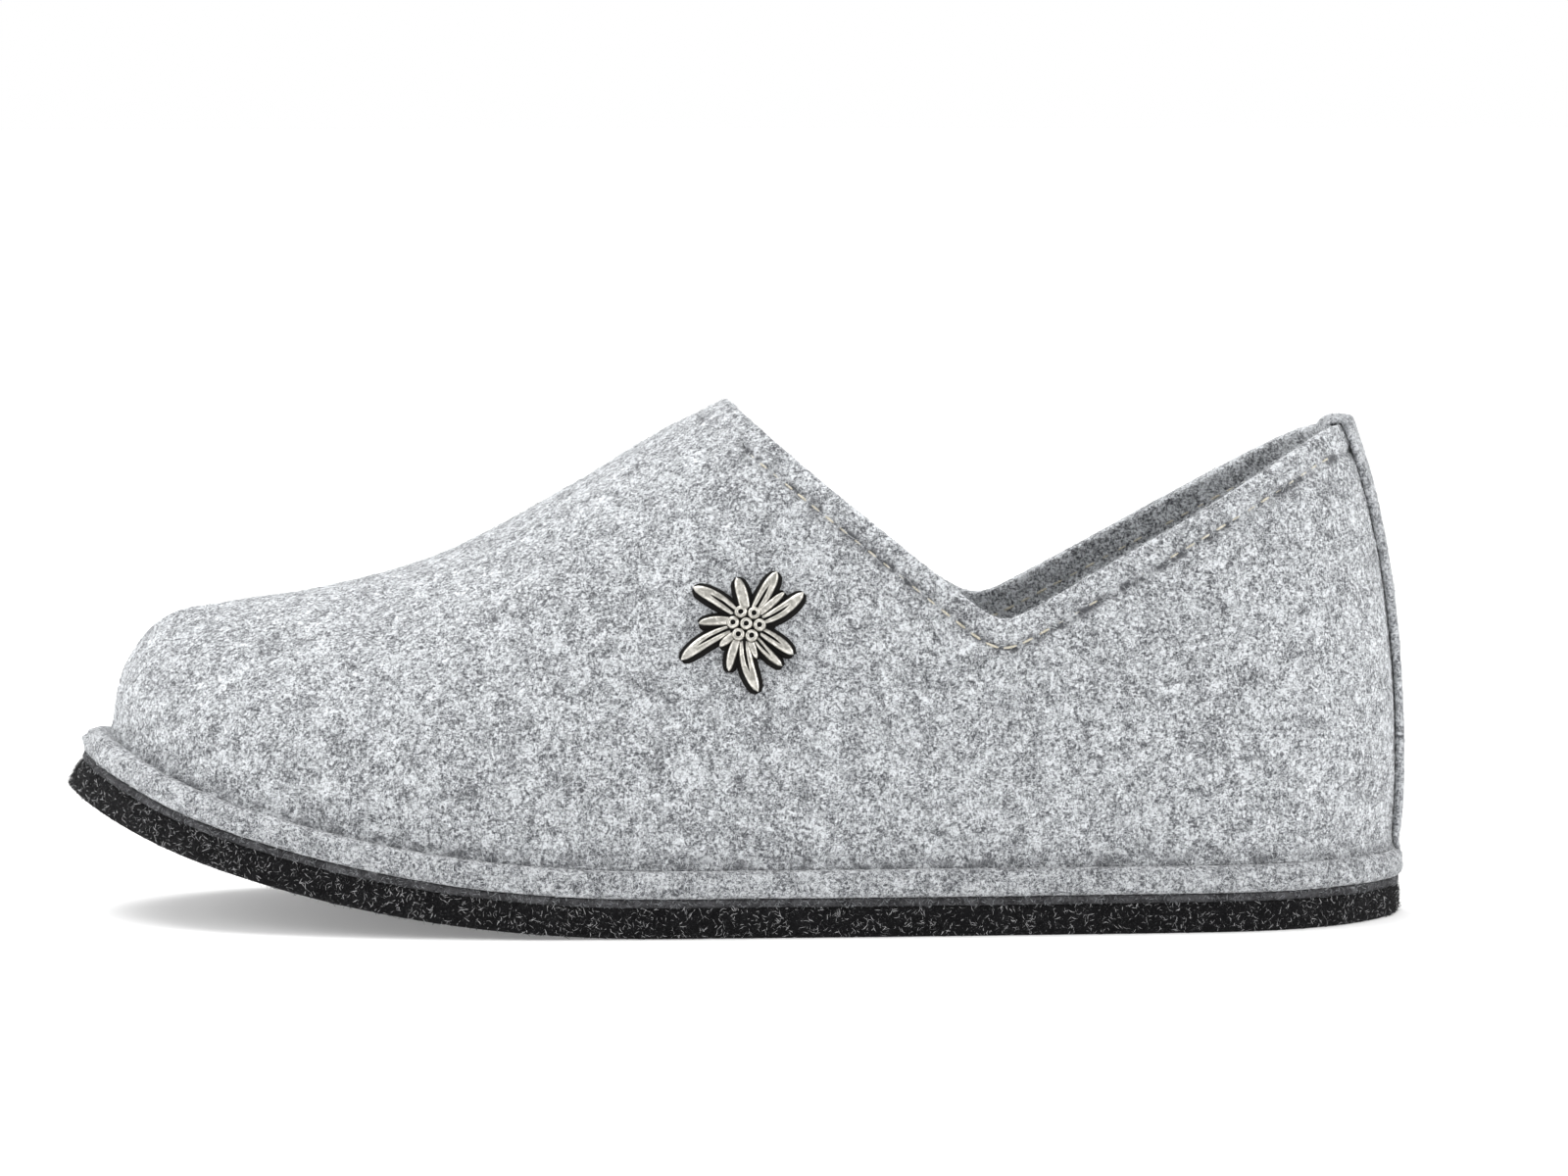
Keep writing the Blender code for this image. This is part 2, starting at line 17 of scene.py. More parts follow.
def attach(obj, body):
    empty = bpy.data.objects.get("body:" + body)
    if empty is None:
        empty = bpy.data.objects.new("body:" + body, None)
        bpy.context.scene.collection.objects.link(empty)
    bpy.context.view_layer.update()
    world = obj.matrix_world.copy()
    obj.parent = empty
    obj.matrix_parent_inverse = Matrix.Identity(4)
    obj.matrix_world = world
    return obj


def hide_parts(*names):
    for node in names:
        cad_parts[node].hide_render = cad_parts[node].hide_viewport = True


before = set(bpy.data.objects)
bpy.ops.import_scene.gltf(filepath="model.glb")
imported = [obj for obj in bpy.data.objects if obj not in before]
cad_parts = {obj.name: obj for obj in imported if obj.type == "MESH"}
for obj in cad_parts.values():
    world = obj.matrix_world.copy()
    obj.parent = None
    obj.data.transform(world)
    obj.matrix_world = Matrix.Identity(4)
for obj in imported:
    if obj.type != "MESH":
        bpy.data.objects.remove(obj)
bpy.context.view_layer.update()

# Sizes of the shoe. Most are those of its solids. The heel's height, the roll of the toe, the
# rounding of the mouth's lowest place and the ornament's drop follow the photo instead.
OUTER_LENGTH = 0.268
BALL_WIDTH = 0.098
TOE_SPRING = 0.0237
INSTEP_HEIGHT = 0.1022
LATERAL_SIDE_HEIGHT = 0.0600
MEDIAL_SIDE_HEIGHT = 0.0604
MEDIAL_FRONT_SAG = 0.0022
HEEL_HEIGHT = 0.0988
MIDDLE_STATION = 0.503
OUTSOLE_THICKNESS = 0.0060
MIDSOLE_THICKNESS = 0.0012
WELT_THICKNESS = 0.0053
INSOLE_RISE = 0.0035
INSOLE_DISH = 0.0015
INSOLE_SHOULDER = 0.007
OUTSOLE_INSET = 0.0009
MIDSOLE_INSET = 0.0006
FELT_THICKNESS = 0.003
TOE_LEDGE = 0.0058
SIDE_LEDGE = 0.0034
HEEL_LEDGE = 0.0028
WALL_SWELL = 0.0018
SWELL_LOWNESS = 0.6
MERIDIAN_FAN = 0.32
HEEL_ROUNDING = 0.0015
TOE_NOSE_LENGTH = 0.021
HEEL_LEAN_LENGTH = 0.034
TAPE_THICKNESS = 0.0015
TAPE_WIDTH = 0.014
TAPE_INSIDE_LENGTH = 0.026
TAPE_FOOT_FADE = 0.006
TAPE_CROWN = 0.0006
TAPE_FOLD_SHARE = 0.55
TAPE_OUTSIDE_ROWS = 56
TAPE_FOLD_STEPS = 12
TAPE_INSIDE_ROWS = 16
TAPE_FOLD_ROW = TAPE_OUTSIDE_ROWS + 5
TAPE_FOLD_SPREAD = 14
ORNAMENT_SPAN = 0.0235
ORNAMENT_DISTANCE_FROM_TOE = 0.135
ORNAMENT_HEIGHT = 0.063
ORNAMENT_DROP = 0.0026
SEAT_GAP = 0.0003
ROLL_STATION = 0.45
ROLL_POWER = 2.15
TIP_CURL = 0.0020
TIP_STATION = 0.11
THROAT_STATION = 0.494
COLLAR_SOFTNESS = 0.0026
HEEL_TOP_STATION = 0.945
LATERAL = -1
MEDIAL = 1
COLLAR = {
    # side: station of the lowest place of the mouth's edge, its height, sag of the front run
    LATERAL: (0.690, LATERAL_SIDE_HEIGHT, 0.0),
    MEDIAL: (0.688, MEDIAL_SIDE_HEIGHT, MEDIAL_FRONT_SAG),
}

MIDSOLE_BASE = OUTSOLE_THICKNESS + SEAT_GAP
WELT_BASE = MIDSOLE_BASE + MIDSOLE_THICKNESS + SEAT_GAP
WELT_TOP = WELT_BASE + WELT_THICKNESS
UPPER_BASE = WELT_TOP + SEAT_GAP

OUTLINE = (
    # station, lateral, medial
    (0.00, -0.075, 0.075),
    (0.03, 0.150, 0.290),
    (0.08, 0.285, 0.400),
    (0.16, 0.395, 0.476),
    (0.26, 0.468, 0.500),
    (0.37, 0.500, 0.470),
    (0.50, 0.498, 0.386),
    (0.64, 0.486, 0.300),
    (0.78, 0.466, 0.262),
    (0.90, 0.420, 0.232),
    (0.965, 0.300, 0.140),
    (1.00, 0.085, -0.085),
)

CREST = (
    # station, height, offset to the medial side, lateral fullness, medial fullness
    (0.00, 0.560, 0.075, 2.30, 2.50),
    (0.11, 0.599, 0.075, 2.25, 2.45),
    (0.20, 0.635, 0.070, 2.15, 2.35),
    (0.30, 0.717, 0.055, 2.05, 2.25),
    (0.40, 0.865, 0.035, 2.00, 2.20),
    (0.494, 1.000, 0.015, 2.05, 2.20),
    (0.60, 1.100, -0.030, 2.20, 2.30),
    (0.75, 1.140, -0.072, 2.40, 2.40),
    (0.90, 1.210, -0.085, 2.30, 2.30),
    (1.00, 1.230, -0.085, 2.30, 2.30),
)


# ---- shape functions, on arrays ----

class SmoothTable:
    """Natural cubic spline through the rows of a table, one value for each column."""

    def __init__(self, places, values):
        self.places = np.asarray(places, float)
        self.values = np.asarray(values, float)
        steps = np.diff(self.places)
        count = len(self.places)
        system = np.eye(count)
        right = np.zeros_like(self.values)
        for row in range(1, count - 1):
            system[row, row - 1] = steps[row - 1]
            system[row, row] = 2 * (steps[row - 1] + steps[row])
            system[row, row + 1] = steps[row]
            rise_after = (self.values[row + 1] - self.values[row]) / steps[row]
            rise_before = (self.values[row] - self.values[row - 1]) / steps[row - 1]
            right[row] = 6 * (rise_after - rise_before)
        self.bends = np.linalg.solve(system, right)

    def __call__(self, place):
        place = np.clip(np.asarray(place, float), self.places[0], self.places[-1])
        row = np.clip(np.searchsorted(self.places, place, side="right") - 1, 0, len(self.places) - 2)
        step = self.places[row + 1] - self.places[row]
        after = (place - self.places[row]) / step
        before = 1 - after
        if self.values.ndim > 1:
            step, after, before = step[..., None], after[..., None], before[..., None]
        bend = (before**3 - before) * self.bends[row] + (after**3 - after) * self.bends[row + 1]
        return before * self.values[row] + after * self.values[row + 1] + bend * step**2 / 6


def closed_outline_table():
    turns = [math.acos(1 - 2 * row[0]) for row in OUTLINE]
    medial = [(-turn, row[2]) for turn, row in zip(turns, OUTLINE)][::-1]
    lateral = [(turn, -row[1]) for turn, row in zip(turns, OUTLINE)][1:]
    half = medial + lateral
    before = [(place - 2 * math.pi, side) for place, side in half[-4:-1]]
    after = [(place + 2 * math.pi, side) for place, side in half[1:4]]
    rows = before + half + after
    return SmoothTable([place for place, _ in rows], [side for _, side in rows])


OUTLINE_SIDE = closed_outline_table()
CREST_ROWS = SmoothTable([row[0] for row in CREST], [row[1:] for row in CREST])


def x_of(station):
    return OUTER_LENGTH * (station - MIDDLE_STATION)


def station_of(x):
    return x / OUTER_LENGTH + MIDDLE_STATION


def outline_point(turn, side):
    return np.stack([x_of((1 - np.cos(turn)) / 2), OUTLINE_SIDE(-side * turn) * BALL_WIDTH], -1)


def inward_normal(turn, side):
    small = 1e-4
    along = outline_point(turn + small, side) - outline_point(turn - small, side)
    normal = np.stack([along[..., 1], -along[..., 0]], -1) * side
    return normal / np.linalg.norm(normal, axis=-1, keepdims=True)


def inset_point(turn, side, inset):
    return outline_point(turn, side) + inward_normal(turn, side) * np.asarray(inset)[..., None]


def roll_height(x):
    station = station_of(x)
    tip = TIP_CURL * np.maximum(0.0, 1 - np.maximum(station, 0.0) / TIP_STATION) ** 2
    return TOE_SPRING * np.maximum(0.0, 1 - station / ROLL_STATION) ** ROLL_POWER + tip


def on_sole(place, height):
    """Points at a height above the rolled sole, square to it."""
    x, y = place[..., 0], place[..., 1]
    small = 1e-4
    angle = np.arctan((roll_height(x - small) - roll_height(x + small)) / (2 * small))
    return np.stack([x + height * np.sin(angle), y, roll_height(x) + height * np.cos(angle)], -1)


def end_shares(turn):
    """Nearness of a place on the outline to the toe and to the heel, each from 0 to 1."""
    return np.maximum(0.0, np.cos(turn)) ** 3, np.maximum(0.0, -np.cos(turn)) ** 3


def ledge(turn):
    at_toe, at_heel = end_shares(turn)
    return SIDE_LEDGE + (TOE_LEDGE - SIDE_LEDGE) * at_toe + (HEEL_LEDGE - SIDE_LEDGE) * at_heel


def crest_place(turn):
    share = (1 - MERIDIAN_FAN) * (1 - np.cos(turn)) / 2 + MERIDIAN_FAN * turn / math.pi
    start = x_of(0) + TOE_LEDGE + TOE_NOSE_LENGTH
    end = x_of(1) - HEEL_LEDGE - HEEL_LEAN_LENGTH
    x = start + (end - start) * share
    return np.stack([x, CREST_ROWS(station_of(x))[..., 1] * BALL_WIDTH], -1)


def wall_point(turn, side, climb):
    """Outer face of the upper, from the welt at climb 0 to the crest of the last at 1."""
    turn, climb = np.broadcast_arrays(np.asarray(turn, float), np.asarray(climb, float))
    base = inset_point(turn, side, ledge(turn))
    foot = on_sole(base, UPPER_BASE)
    crest = crest_place(turn)
    crest_row = CREST_ROWS(station_of(crest[..., 0]))
    fullness = crest_row[..., 2] if side == LATERAL else crest_row[..., 3]
    angle = climb * math.pi / 2
    inward = 1 - np.maximum(0.0, np.cos(angle)) ** (2 / fullness)
    upward = np.maximum(0.0, np.sin(angle)) ** (2 / fullness)
    place = foot[..., :2] + (crest - foot[..., :2]) * inward[..., None]
    swell = WALL_SWELL * np.sin(math.pi * upward**SWELL_LOWNESS)
    place = place - inward_normal(turn, side) * swell[..., None]
    top = CREST_ROWS(station_of(place[..., 0]))[..., 0] * INSTEP_HEIGHT
    z = foot[..., 2] + (top - foot[..., 2]) * upward
    return np.concatenate([place, z[..., None]], -1)


def wall_normal(turn, side, climb):
    small = 2e-3
    turn, climb = np.broadcast_arrays(np.asarray(turn, float), np.asarray(climb, float))
    along = wall_point(turn + small, side, climb) - wall_point(turn - small, side, climb)
    below = np.maximum(0.0, climb - small)
    up = wall_point(turn, side, below + 2 * small) - wall_point(turn, side, below)
    normal = np.cross(up, along) * side
    return normal / np.linalg.norm(normal, axis=-1, keepdims=True)


def collar_height(x, side, drop=0.0):
    """Height of the mouth's edge, or of a line that runs at a distance below the edge."""
    low_station, low_height, sag = COLLAR[side]
    throat, low, heel = x_of(THROAT_STATION), x_of(low_station), x_of(HEEL_TOP_STATION)
    front_slope = (INSTEP_HEIGHT - low_height) / (low - throat)
    back_slope = (HEEL_HEIGHT - low_height) / (heel - low)
    hang = sag * np.sin(math.pi * np.clip((low - x) / (low - throat), 0.0, 1.0))
    front = low_height + (low - x) * front_slope - hang - drop * math.hypot(1, front_slope)
    below = (HEEL_HEIGHT - low_height) - (x - low) * back_slope
    level = HEEL_HEIGHT - HEEL_ROUNDING * np.logaddexp(0, below / HEEL_ROUNDING)
    back = level - drop * math.hypot(1, back_slope)
    return COLLAR_SOFTNESS * np.logaddexp(front / COLLAR_SOFTNESS, back / COLLAR_SOFTNESS)


def collar_climb(turn, side, drop=0.0):
    """Climb at which meridians meet the mouth's edge, or 1 in front of the throat."""
    turn = np.asarray(turn, float)
    low = np.full(turn.shape, 0.05)
    high = np.ones(turn.shape)
    for _ in range(36):
        middle = (low + high) / 2
        point = wall_point(turn, side, middle)
        under = point[..., 2] < collar_height(point[..., 0], side, drop)
        low = np.where(under, middle, low)
        high = np.where(under, high, middle)
    end = wall_point(turn, side, np.ones(turn.shape))
    return np.where(end[..., 2] <= collar_height(end[..., 0], side, drop), 1.0, low)


def last_that_holds(test, low, high, rounds):
    """Largest value for which a test holds, found by halving."""
    for _ in range(rounds):
        middle = (low + high) / 2
        if test(middle):
            low = middle
        else:
            high = middle
    return low


def throat_turn(drop=0.0):
    def under_collar(turn):
        point = wall_point(turn, LATERAL, 1.0)
        return point[2] <= collar_height(point[0], LATERAL, drop)
    return last_that_holds(under_collar, 0.2, math.pi, 40)


# ---- mesh helpers ----

def mesh_object(name, points, faces, materials, smooth=True):
    mesh = bpy.data.meshes.new(name)
    mesh.from_pydata([tuple(point) for point in points], [], [tuple(face) for face in faces])
    for material in materials:
        mesh.materials.append(material)
    if smooth:
        mesh.shade_smooth()
    mesh.update()
    thing = bpy.data.objects.new(name, mesh)
    bpy.context.scene.collection.objects.link(thing)
    return thing


def declare(thing, slot, *nodes):
    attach(thing, "root")
    if nodes:
        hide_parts(*nodes)
    return thing


def grid_faces(rows, columns, first=0, flip=False):
    """Quads of a grid stored row by row."""
    faces = []
    for row in range(rows - 1):
        for column in range(columns - 1):
            a = first + row * columns + column
            quad = (a, a + columns, a + columns + 1, a + 1)
            faces.append(quad[::-1] if flip else quad)
    return faces


def felt_relief(points, seed, fine=1.0):
    """Small unevenness of pressed felt at each point, in metres."""
    shift = Vector((seed * 3.1, seed * 1.7, seed * 0.9))
    relief = []
    for point in points:
        place = Vector(point)
        wide = noise.noise(place * 45 + shift) * 0.00030
        lump = noise.noise(place * 170 + shift) * 0.00016
        grain = noise.noise(place * 620 + shift) * 0.00007 * fine
        relief.append(wide + lump + grain)
    return np.array(relief)


# Creases placed on the upper: middle along the shoe and height (metres), side,
# half length, lean from upright in degrees, half width, depth.
CREASES = (
    # x, z, side, half length, lean, half width, depth
    (-0.1080, 0.046, LATERAL, 0.012, 24, 0.0030, 0.00045),
    (-0.0960, 0.052, LATERAL, 0.014, 62, 0.0026, 0.00035),
    (-0.0560, 0.066, LATERAL, 0.016, 70, 0.0034, 0.00050),
    (-0.0280, 0.040, LATERAL, 0.015, 38, 0.0040, 0.00040),
    (0.0350, 0.036, LATERAL, 0.016, -30, 0.0042, 0.00045),
    (0.0520, 0.047, LATERAL, 0.011, 8, 0.0034, 0.00055),
    (0.0960, 0.050, LATERAL, 0.018, -12, 0.0038, 0.00040),
    (-0.0480, 0.064, MEDIAL, 0.018, 66, 0.0036, 0.00050),
    (0.0000, 0.040, MEDIAL, 0.017, 34, 0.0042, 0.00045),
    (0.0560, 0.045, MEDIAL, 0.013, 4, 0.0036, 0.00055),
    (0.0900, 0.046, MEDIAL, 0.016, -18, 0.0040, 0.00045),
)


def crease_depth(points, side):
    depth = np.zeros(points.shape[:-1])
    for x, z, where, half_length, lean, half_width, deep in CREASES:
        if where != side:
            continue
        angle = math.radians(lean)
        dx, dz = points[..., 0] - x, points[..., 2] - z
        along = dx * math.sin(angle) + dz * math.cos(angle)
        across = dx * math.cos(angle) - dz * math.sin(angle)
        across = across + 0.12 * along**2 / half_length
        fall = np.exp(-((along / half_length) ** 2)) * np.exp(-((across / half_width) ** 2))
        ridge = np.exp(-(((across - 2.1 * half_width) / (1.3 * half_width)) ** 2))
        depth += deep * (fall - 0.5 * ridge * np.exp(-((along / half_length) ** 2)))
    return depth


# ---- materials ----

class Nodes:
    """Short way to build a procedural material."""

    def __init__(self, name):
        self.material = bpy.data.materials.new(name)
        self.material.use_nodes = True
        self.tree = self.material.node_tree
        self.shader = self.tree.nodes["Principled BSDF"]
        self.place = self.tree.nodes.new("ShaderNodeTexCoord").outputs["Object"]

    def join(self, source, socket):
        if isinstance(source, (int, float)):
            socket.default_value = source
        elif isinstance(source, tuple):
            socket.default_value = (*source, 1.0) if len(source) == 3 and socket.type == "RGBA" else source
        else:
            self.tree.links.new(source, socket)

    def stretch(self, scale, turn=(0.0, 0.0, 0.0)):
        node = self.tree.nodes.new("ShaderNodeMapping")
        self.join(self.place, node.inputs["Vector"])
        node.inputs["Scale"].default_value = scale
        node.inputs["Rotation"].default_value = turn
        return node.outputs["Vector"]

    def noise(self, scale, detail=2.0, rough=0.5, distortion=0.0, place=None):
        node = self.tree.nodes.new("ShaderNodeTexNoise")
        self.join(place if place is not None else self.place, node.inputs["Vector"])
        node.inputs["Scale"].default_value = scale
        node.inputs["Detail"].default_value = detail
        node.inputs["Roughness"].default_value = rough
        node.inputs["Distortion"].default_value = distortion
        return node.outputs["Fac"]

    def maths(self, operation, *sources, clamp=False):
        node = self.tree.nodes.new("ShaderNodeMath")
        node.operation = operation
        node.use_clamp = clamp
        for source, socket in zip(sources, node.inputs):
            self.join(source, socket)
        return node.outputs[0]

    def spread(self, source, low, high, to_low=0.0, to_high=1.0):
        node = self.tree.nodes.new("ShaderNodeMapRange")
        node.clamp = True
        node.interpolation_type = "SMOOTHSTEP"
        for value, name in ((source, "Value"), (low, "From Min"), (high, "From Max"),
                            (to_low, "To Min"), (to_high, "To Max")):
            self.join(value, node.inputs[name])
        return node.outputs["Result"]

    def mix(self, share, first, second, blend="MIX"):
        node = self.tree.nodes.new("ShaderNodeMix")
        node.data_type = "RGBA"
        node.blend_type = blend
        self.join(share, node.inputs[0])
        self.join(first, node.inputs[6])
        self.join(second, node.inputs[7])
        return node.outputs[2]

    def attribute(self, name):
        node = self.tree.nodes.new("ShaderNodeAttribute")
        node.attribute_name = name
        return node.outputs["Fac"]

    def hairline(self, scale, place=None, width=0.02, distortion=1.2):
        """Thin curly lines, where a noise passes its middle value."""
        field = self.noise(scale, 1.0, 0.5, distortion, place)
        away = self.maths("ABSOLUTE", self.maths("SUBTRACT", field, 0.5))
        return self.spread(away, 0.0, width, 1.0, 0.0)

    def bump(self, height, distance, strength=1.0):
        node = self.tree.nodes.new("ShaderNodeBump")
        self.join(height, node.inputs["Height"])
        node.inputs["Distance"].default_value = distance
        node.inputs["Strength"].default_value = strength
        self.join(node.outputs["Normal"], self.shader.inputs["Normal"])

    def finish(self, colour, roughness, sheen=0.0, sheen_roughness=0.5, metallic=0.0):
        self.join(colour, self.shader.inputs["Base Color"])
        self.join(roughness, self.shader.inputs["Roughness"])
        self.join(metallic, self.shader.inputs["Metallic"])
        self.shader.inputs["Specular IOR Level"].default_value = 0.5 if metallic else 0.12
        self.shader.inputs["Sheen Weight"].default_value = sheen
        self.shader.inputs["Sheen Roughness"].default_value = sheen_roughness
        return self.material


def wool_felt(name, light, middle, dark, with_painted_shade=False):
    """Mottled wool felt: clouds of light and dark fibre, short specks, curly hairlines, and, when asked,
    painted shade read from a point attribute.
    """
    n = Nodes(name)
    cloud = n.noise(230.0, 3.0, 0.6, 0.8)
    fleck = n.noise(700.0, 3.0, 0.7, 1.5)
    speck = n.noise(1700.0, 2.0, 0.7, 0.6)
    lying = n.stretch((1.0, 1.0, 2.6), (0.3, 0.2, 0.0))
    leaning = n.stretch((2.4, 2.0, 1.0), (0.0, 0.9, 0.4))
    streak = n.noise(1100.0, 2.0, 0.6, 1.0, lying)
    streak_across = n.noise(1000.0, 2.0, 0.6, 1.0, leaning)
    tone = n.maths("MULTIPLY_ADD", cloud, 0.50, -0.25)
    for field, weight in ((fleck, 0.75), (speck, 0.85), (streak, 0.55), (streak_across, 0.55)):
        tone = n.maths("ADD", tone, n.maths("MULTIPLY_ADD", field, weight, -weight / 2))
    pale = n.spread(tone, 0.00, 0.12)
    deep = n.spread(tone, -0.03, -0.16)
    colour = n.mix(pale, middle, light)
    colour = n.mix(deep, colour, dark)
    dark_hair = n.hairline(420.0, lying, 0.020)
    colour = n.mix(n.maths("MULTIPLY", dark_hair, 0.55), colour, dark)
    light_hair = n.hairline(520.0, leaning, 0.026)
    colour = n.mix(n.maths("MULTIPLY", light_hair, 0.55), colour, light)
    # painted shade in the stitch pucker and the cove at the wall's foot, broken up by noise, darkens the felt
    # towards its dark colour
    if with_painted_shade:
        painted_shade = n.attribute("painted_shade")
        broken = n.spread(n.noise(330.0, 2.0, 0.6), 0.42, 0.58, 0.25, 1.15)
        colour = n.mix(n.maths("MULTIPLY", painted_shade, broken, clamp=True), colour, dark)
    height = n.maths("ADD", n.maths("MULTIPLY", speck, 0.5), n.maths("MULTIPLY", fleck, 0.9))
    height = n.maths("ADD", height, n.maths("MULTIPLY", light_hair, 0.35))
    height = n.maths("ADD", height, n.maths("MULTIPLY", streak, 0.5))
    n.bump(height, 0.00050, 0.9)
    return n.finish(colour, 0.95, sheen=0.25, sheen_roughness=0.55)


def dense_felt(name, ground, lift, fleck, fleck_share):
    """Dark pressed sole felt with pale fibre ends."""
    n = Nodes(name)
    cloud = n.noise(300.0, 3.0, 0.6, 0.5)
    grain = n.noise(1900.0, 3.0, 0.7, 0.8)
    colour = n.mix(n.spread(n.maths("ADD", cloud, grain), 0.75, 1.3), ground, lift)
    points = n.noise(2600.0, 1.0, 0.5, 2.0)
    shining = n.spread(points, 0.66 - fleck_share, 0.74 - fleck_share)
    colour = n.mix(n.maths("MULTIPLY", shining, 0.3), colour, fleck)
    n.bump(n.maths("ADD", grain, n.maths("MULTIPLY", cloud, 0.6)), 0.0005, 0.9)
    return n.finish(colour, 0.95, sheen=0.02, sheen_roughness=0.5)


def fibre(name, colour, sheen=0.2):
    n = Nodes(name)
    tone = n.noise(900.0, 1.0, 0.5)
    dim = tuple(0.72 * value for value in colour)
    return n.finish(n.mix(n.spread(tone, 0.35, 0.65), dim, colour), 0.85, sheen=sheen)


FELT_LIGHT = (0.715, 0.735, 0.76)
FELT_MIDDLE = (0.325, 0.336, 0.352)
FELT_DARK = (0.075, 0.078, 0.086)

light_felt = wool_felt("felt_light_grey", FELT_LIGHT, FELT_MIDDLE, FELT_DARK, with_painted_shade=True)
# darker copy of the light grey felt for the rand: painted shade on its outer face, which faces sideways and
# down
rand_felt_painted_shade = wool_felt("felt_light_grey_rand_painted_shade", (0.60, 0.615, 0.635), (0.285, 0.295, 0.31), FELT_DARK)
# darker copy of the light grey felt for the heel strip: painted shade
tape_felt_painted_shade = wool_felt("felt_light_grey_tape_painted_shade", (0.54, 0.555, 0.575), (0.25, 0.26, 0.275), FELT_DARK)
lining_felt = wool_felt("felt_light_grey_insole", (0.68, 0.70, 0.72), (0.42, 0.435, 0.45), FELT_DARK)
dark_felt = dense_felt("felt_dark_grey", (0.022, 0.022, 0.024), (0.085, 0.085, 0.09), (0.3, 0.3, 0.3), 0.03)
black_felt = dense_felt("felt_black", (0.0025, 0.0025, 0.003), (0.009, 0.009, 0.010),
                        (0.50, 0.50, 0.51), 0.02)
pale_fibre = fibre("fibre_pale", (0.80, 0.83, 0.85))
grey_fibre = fibre("fibre_grey", (0.36, 0.375, 0.39))
deep_fibre = fibre("fibre_deep", (0.07, 0.074, 0.08), sheen=0.05)
sole_fibre = fibre("fibre_sole", (0.60, 0.60, 0.61))
black_fibre = fibre("fibre_black", (0.010, 0.010, 0.011), sheen=0.02)


def thread_material():
    n = Nodes("thread_beige")
    twist = n.noise(2200.0, 2.0, 0.6, 0.0, n.stretch((1.0, 1.0, 3.0), (0.0, 0.7, 0.0)))
    colour = n.mix(n.spread(twist, 0.35, 0.65), (0.36, 0.33, 0.26), (0.66, 0.62, 0.52))
    n.bump(twist, 0.0001, 0.8)
    return n.finish(colour, 0.7, sheen=0.1)


def silver_material():
    """Antique silver: bright on the raised parts, black in the recesses."""
    n = Nodes("antique_silver")
    recess = n.attribute("patina")
    stain = n.noise(900.0, 3.0, 0.6, 0.6)
    cast = n.noise(2600.0, 2.0, 0.6)
    bright = n.mix(n.spread(stain, 0.35, 0.7), (0.34, 0.33, 0.30), (0.70, 0.68, 0.63))
    covered = n.spread(n.maths("ADD", recess, n.maths("MULTIPLY_ADD", stain, 0.5, -0.25)), 0.34, 0.72)
    colour = n.mix(covered, bright, (0.006, 0.0055, 0.005))
    roughness = n.spread(covered, 0.0, 1.0, 0.34, 0.75)
    metallic = n.spread(covered, 0.2, 0.9, 1.0, 0.1)
    n.bump(n.maths("ADD", cast, stain), 0.00008, 0.6)
    n.finish(colour, roughness, metallic=metallic)
    n.shader.inputs["Specular IOR Level"].default_value = 0.12
    return n.material


thread = thread_material()
silver = silver_material()


# ---- upper ----

FRONT_MERIDIANS = 84
MOUTH_MERIDIANS = 96
FLARE_ROWS = 7
WALL_ROWS = 52
MOUTH_ROWS = 14
RIM_STEPS = 6
INNER_ROWS = 24
FLARE_HEIGHT = 0.0036
TOE_FLARE = 0.0030
HEEL_FLARE = 0.0022
LIP_INSET = 0.0021
LIP_SINK = 0.0009
PEAK_CALM = 0.004
THROAT_EASE = 0.12
COVE_HEIGHT = 0.0022
COVE_SHADE = 0.75
RIM_CROWN = 0.0009
STITCH_DROP = 0.0047
STITCH_PITCH = 0.0037
PUCKER_DEPTH = 0.0005
THROAT_RIM_DIRECTION = Vector((0.87, 0.0, 0.50)).normalized()


def upper_turns():
    throat = throat_turn()
    front = throat * np.arange(FRONT_MERIDIANS) / FRONT_MERIDIANS
    share = np.arange(MOUTH_MERIDIANS + 1) / MOUTH_MERIDIANS
    mouth = throat + (math.pi - throat) * share**2 * (3 - share) / 2
    return np.concatenate([front, mouth])


def flare(height, turn):
    """How far the foot of the wall turns out over the welt, by height above it."""
    at_toe, at_heel = end_shares(turn)
    share = np.clip(height / (FLARE_HEIGHT + TOE_FLARE * at_toe + HEEL_FLARE * at_heel), 0.0, 1.0)
    reach = np.maximum(ledge(turn) - LIP_INSET * (1 - 0.2 * at_toe - 0.45 * at_heel), 0.0)
    return reach * (1 - np.sqrt(np.clip(1 - (1 - share) ** 2, 0.0, 1.0)))


def stitch_distance(points, side):
    """Distance below the mouth's edge, seen from the side."""
    return (collar_height(points[..., 0], side) - points[..., 2]) * 0.8


def climb_rows(top):
    """Climbs of the rows of each meridian: close at the foot and below the mouth."""
    foot = 0.055 * np.linspace(0, 1, FLARE_ROWS) ** 1.2
    wall = np.linspace(0.055, 0.86, WALL_ROWS)[1:]
    mouth = np.linspace(0.86, 1.0, MOUTH_ROWS + 1)[1:]
    shares = np.concatenate([foot, wall, mouth])
    return top[:, None] * shares[None, :]


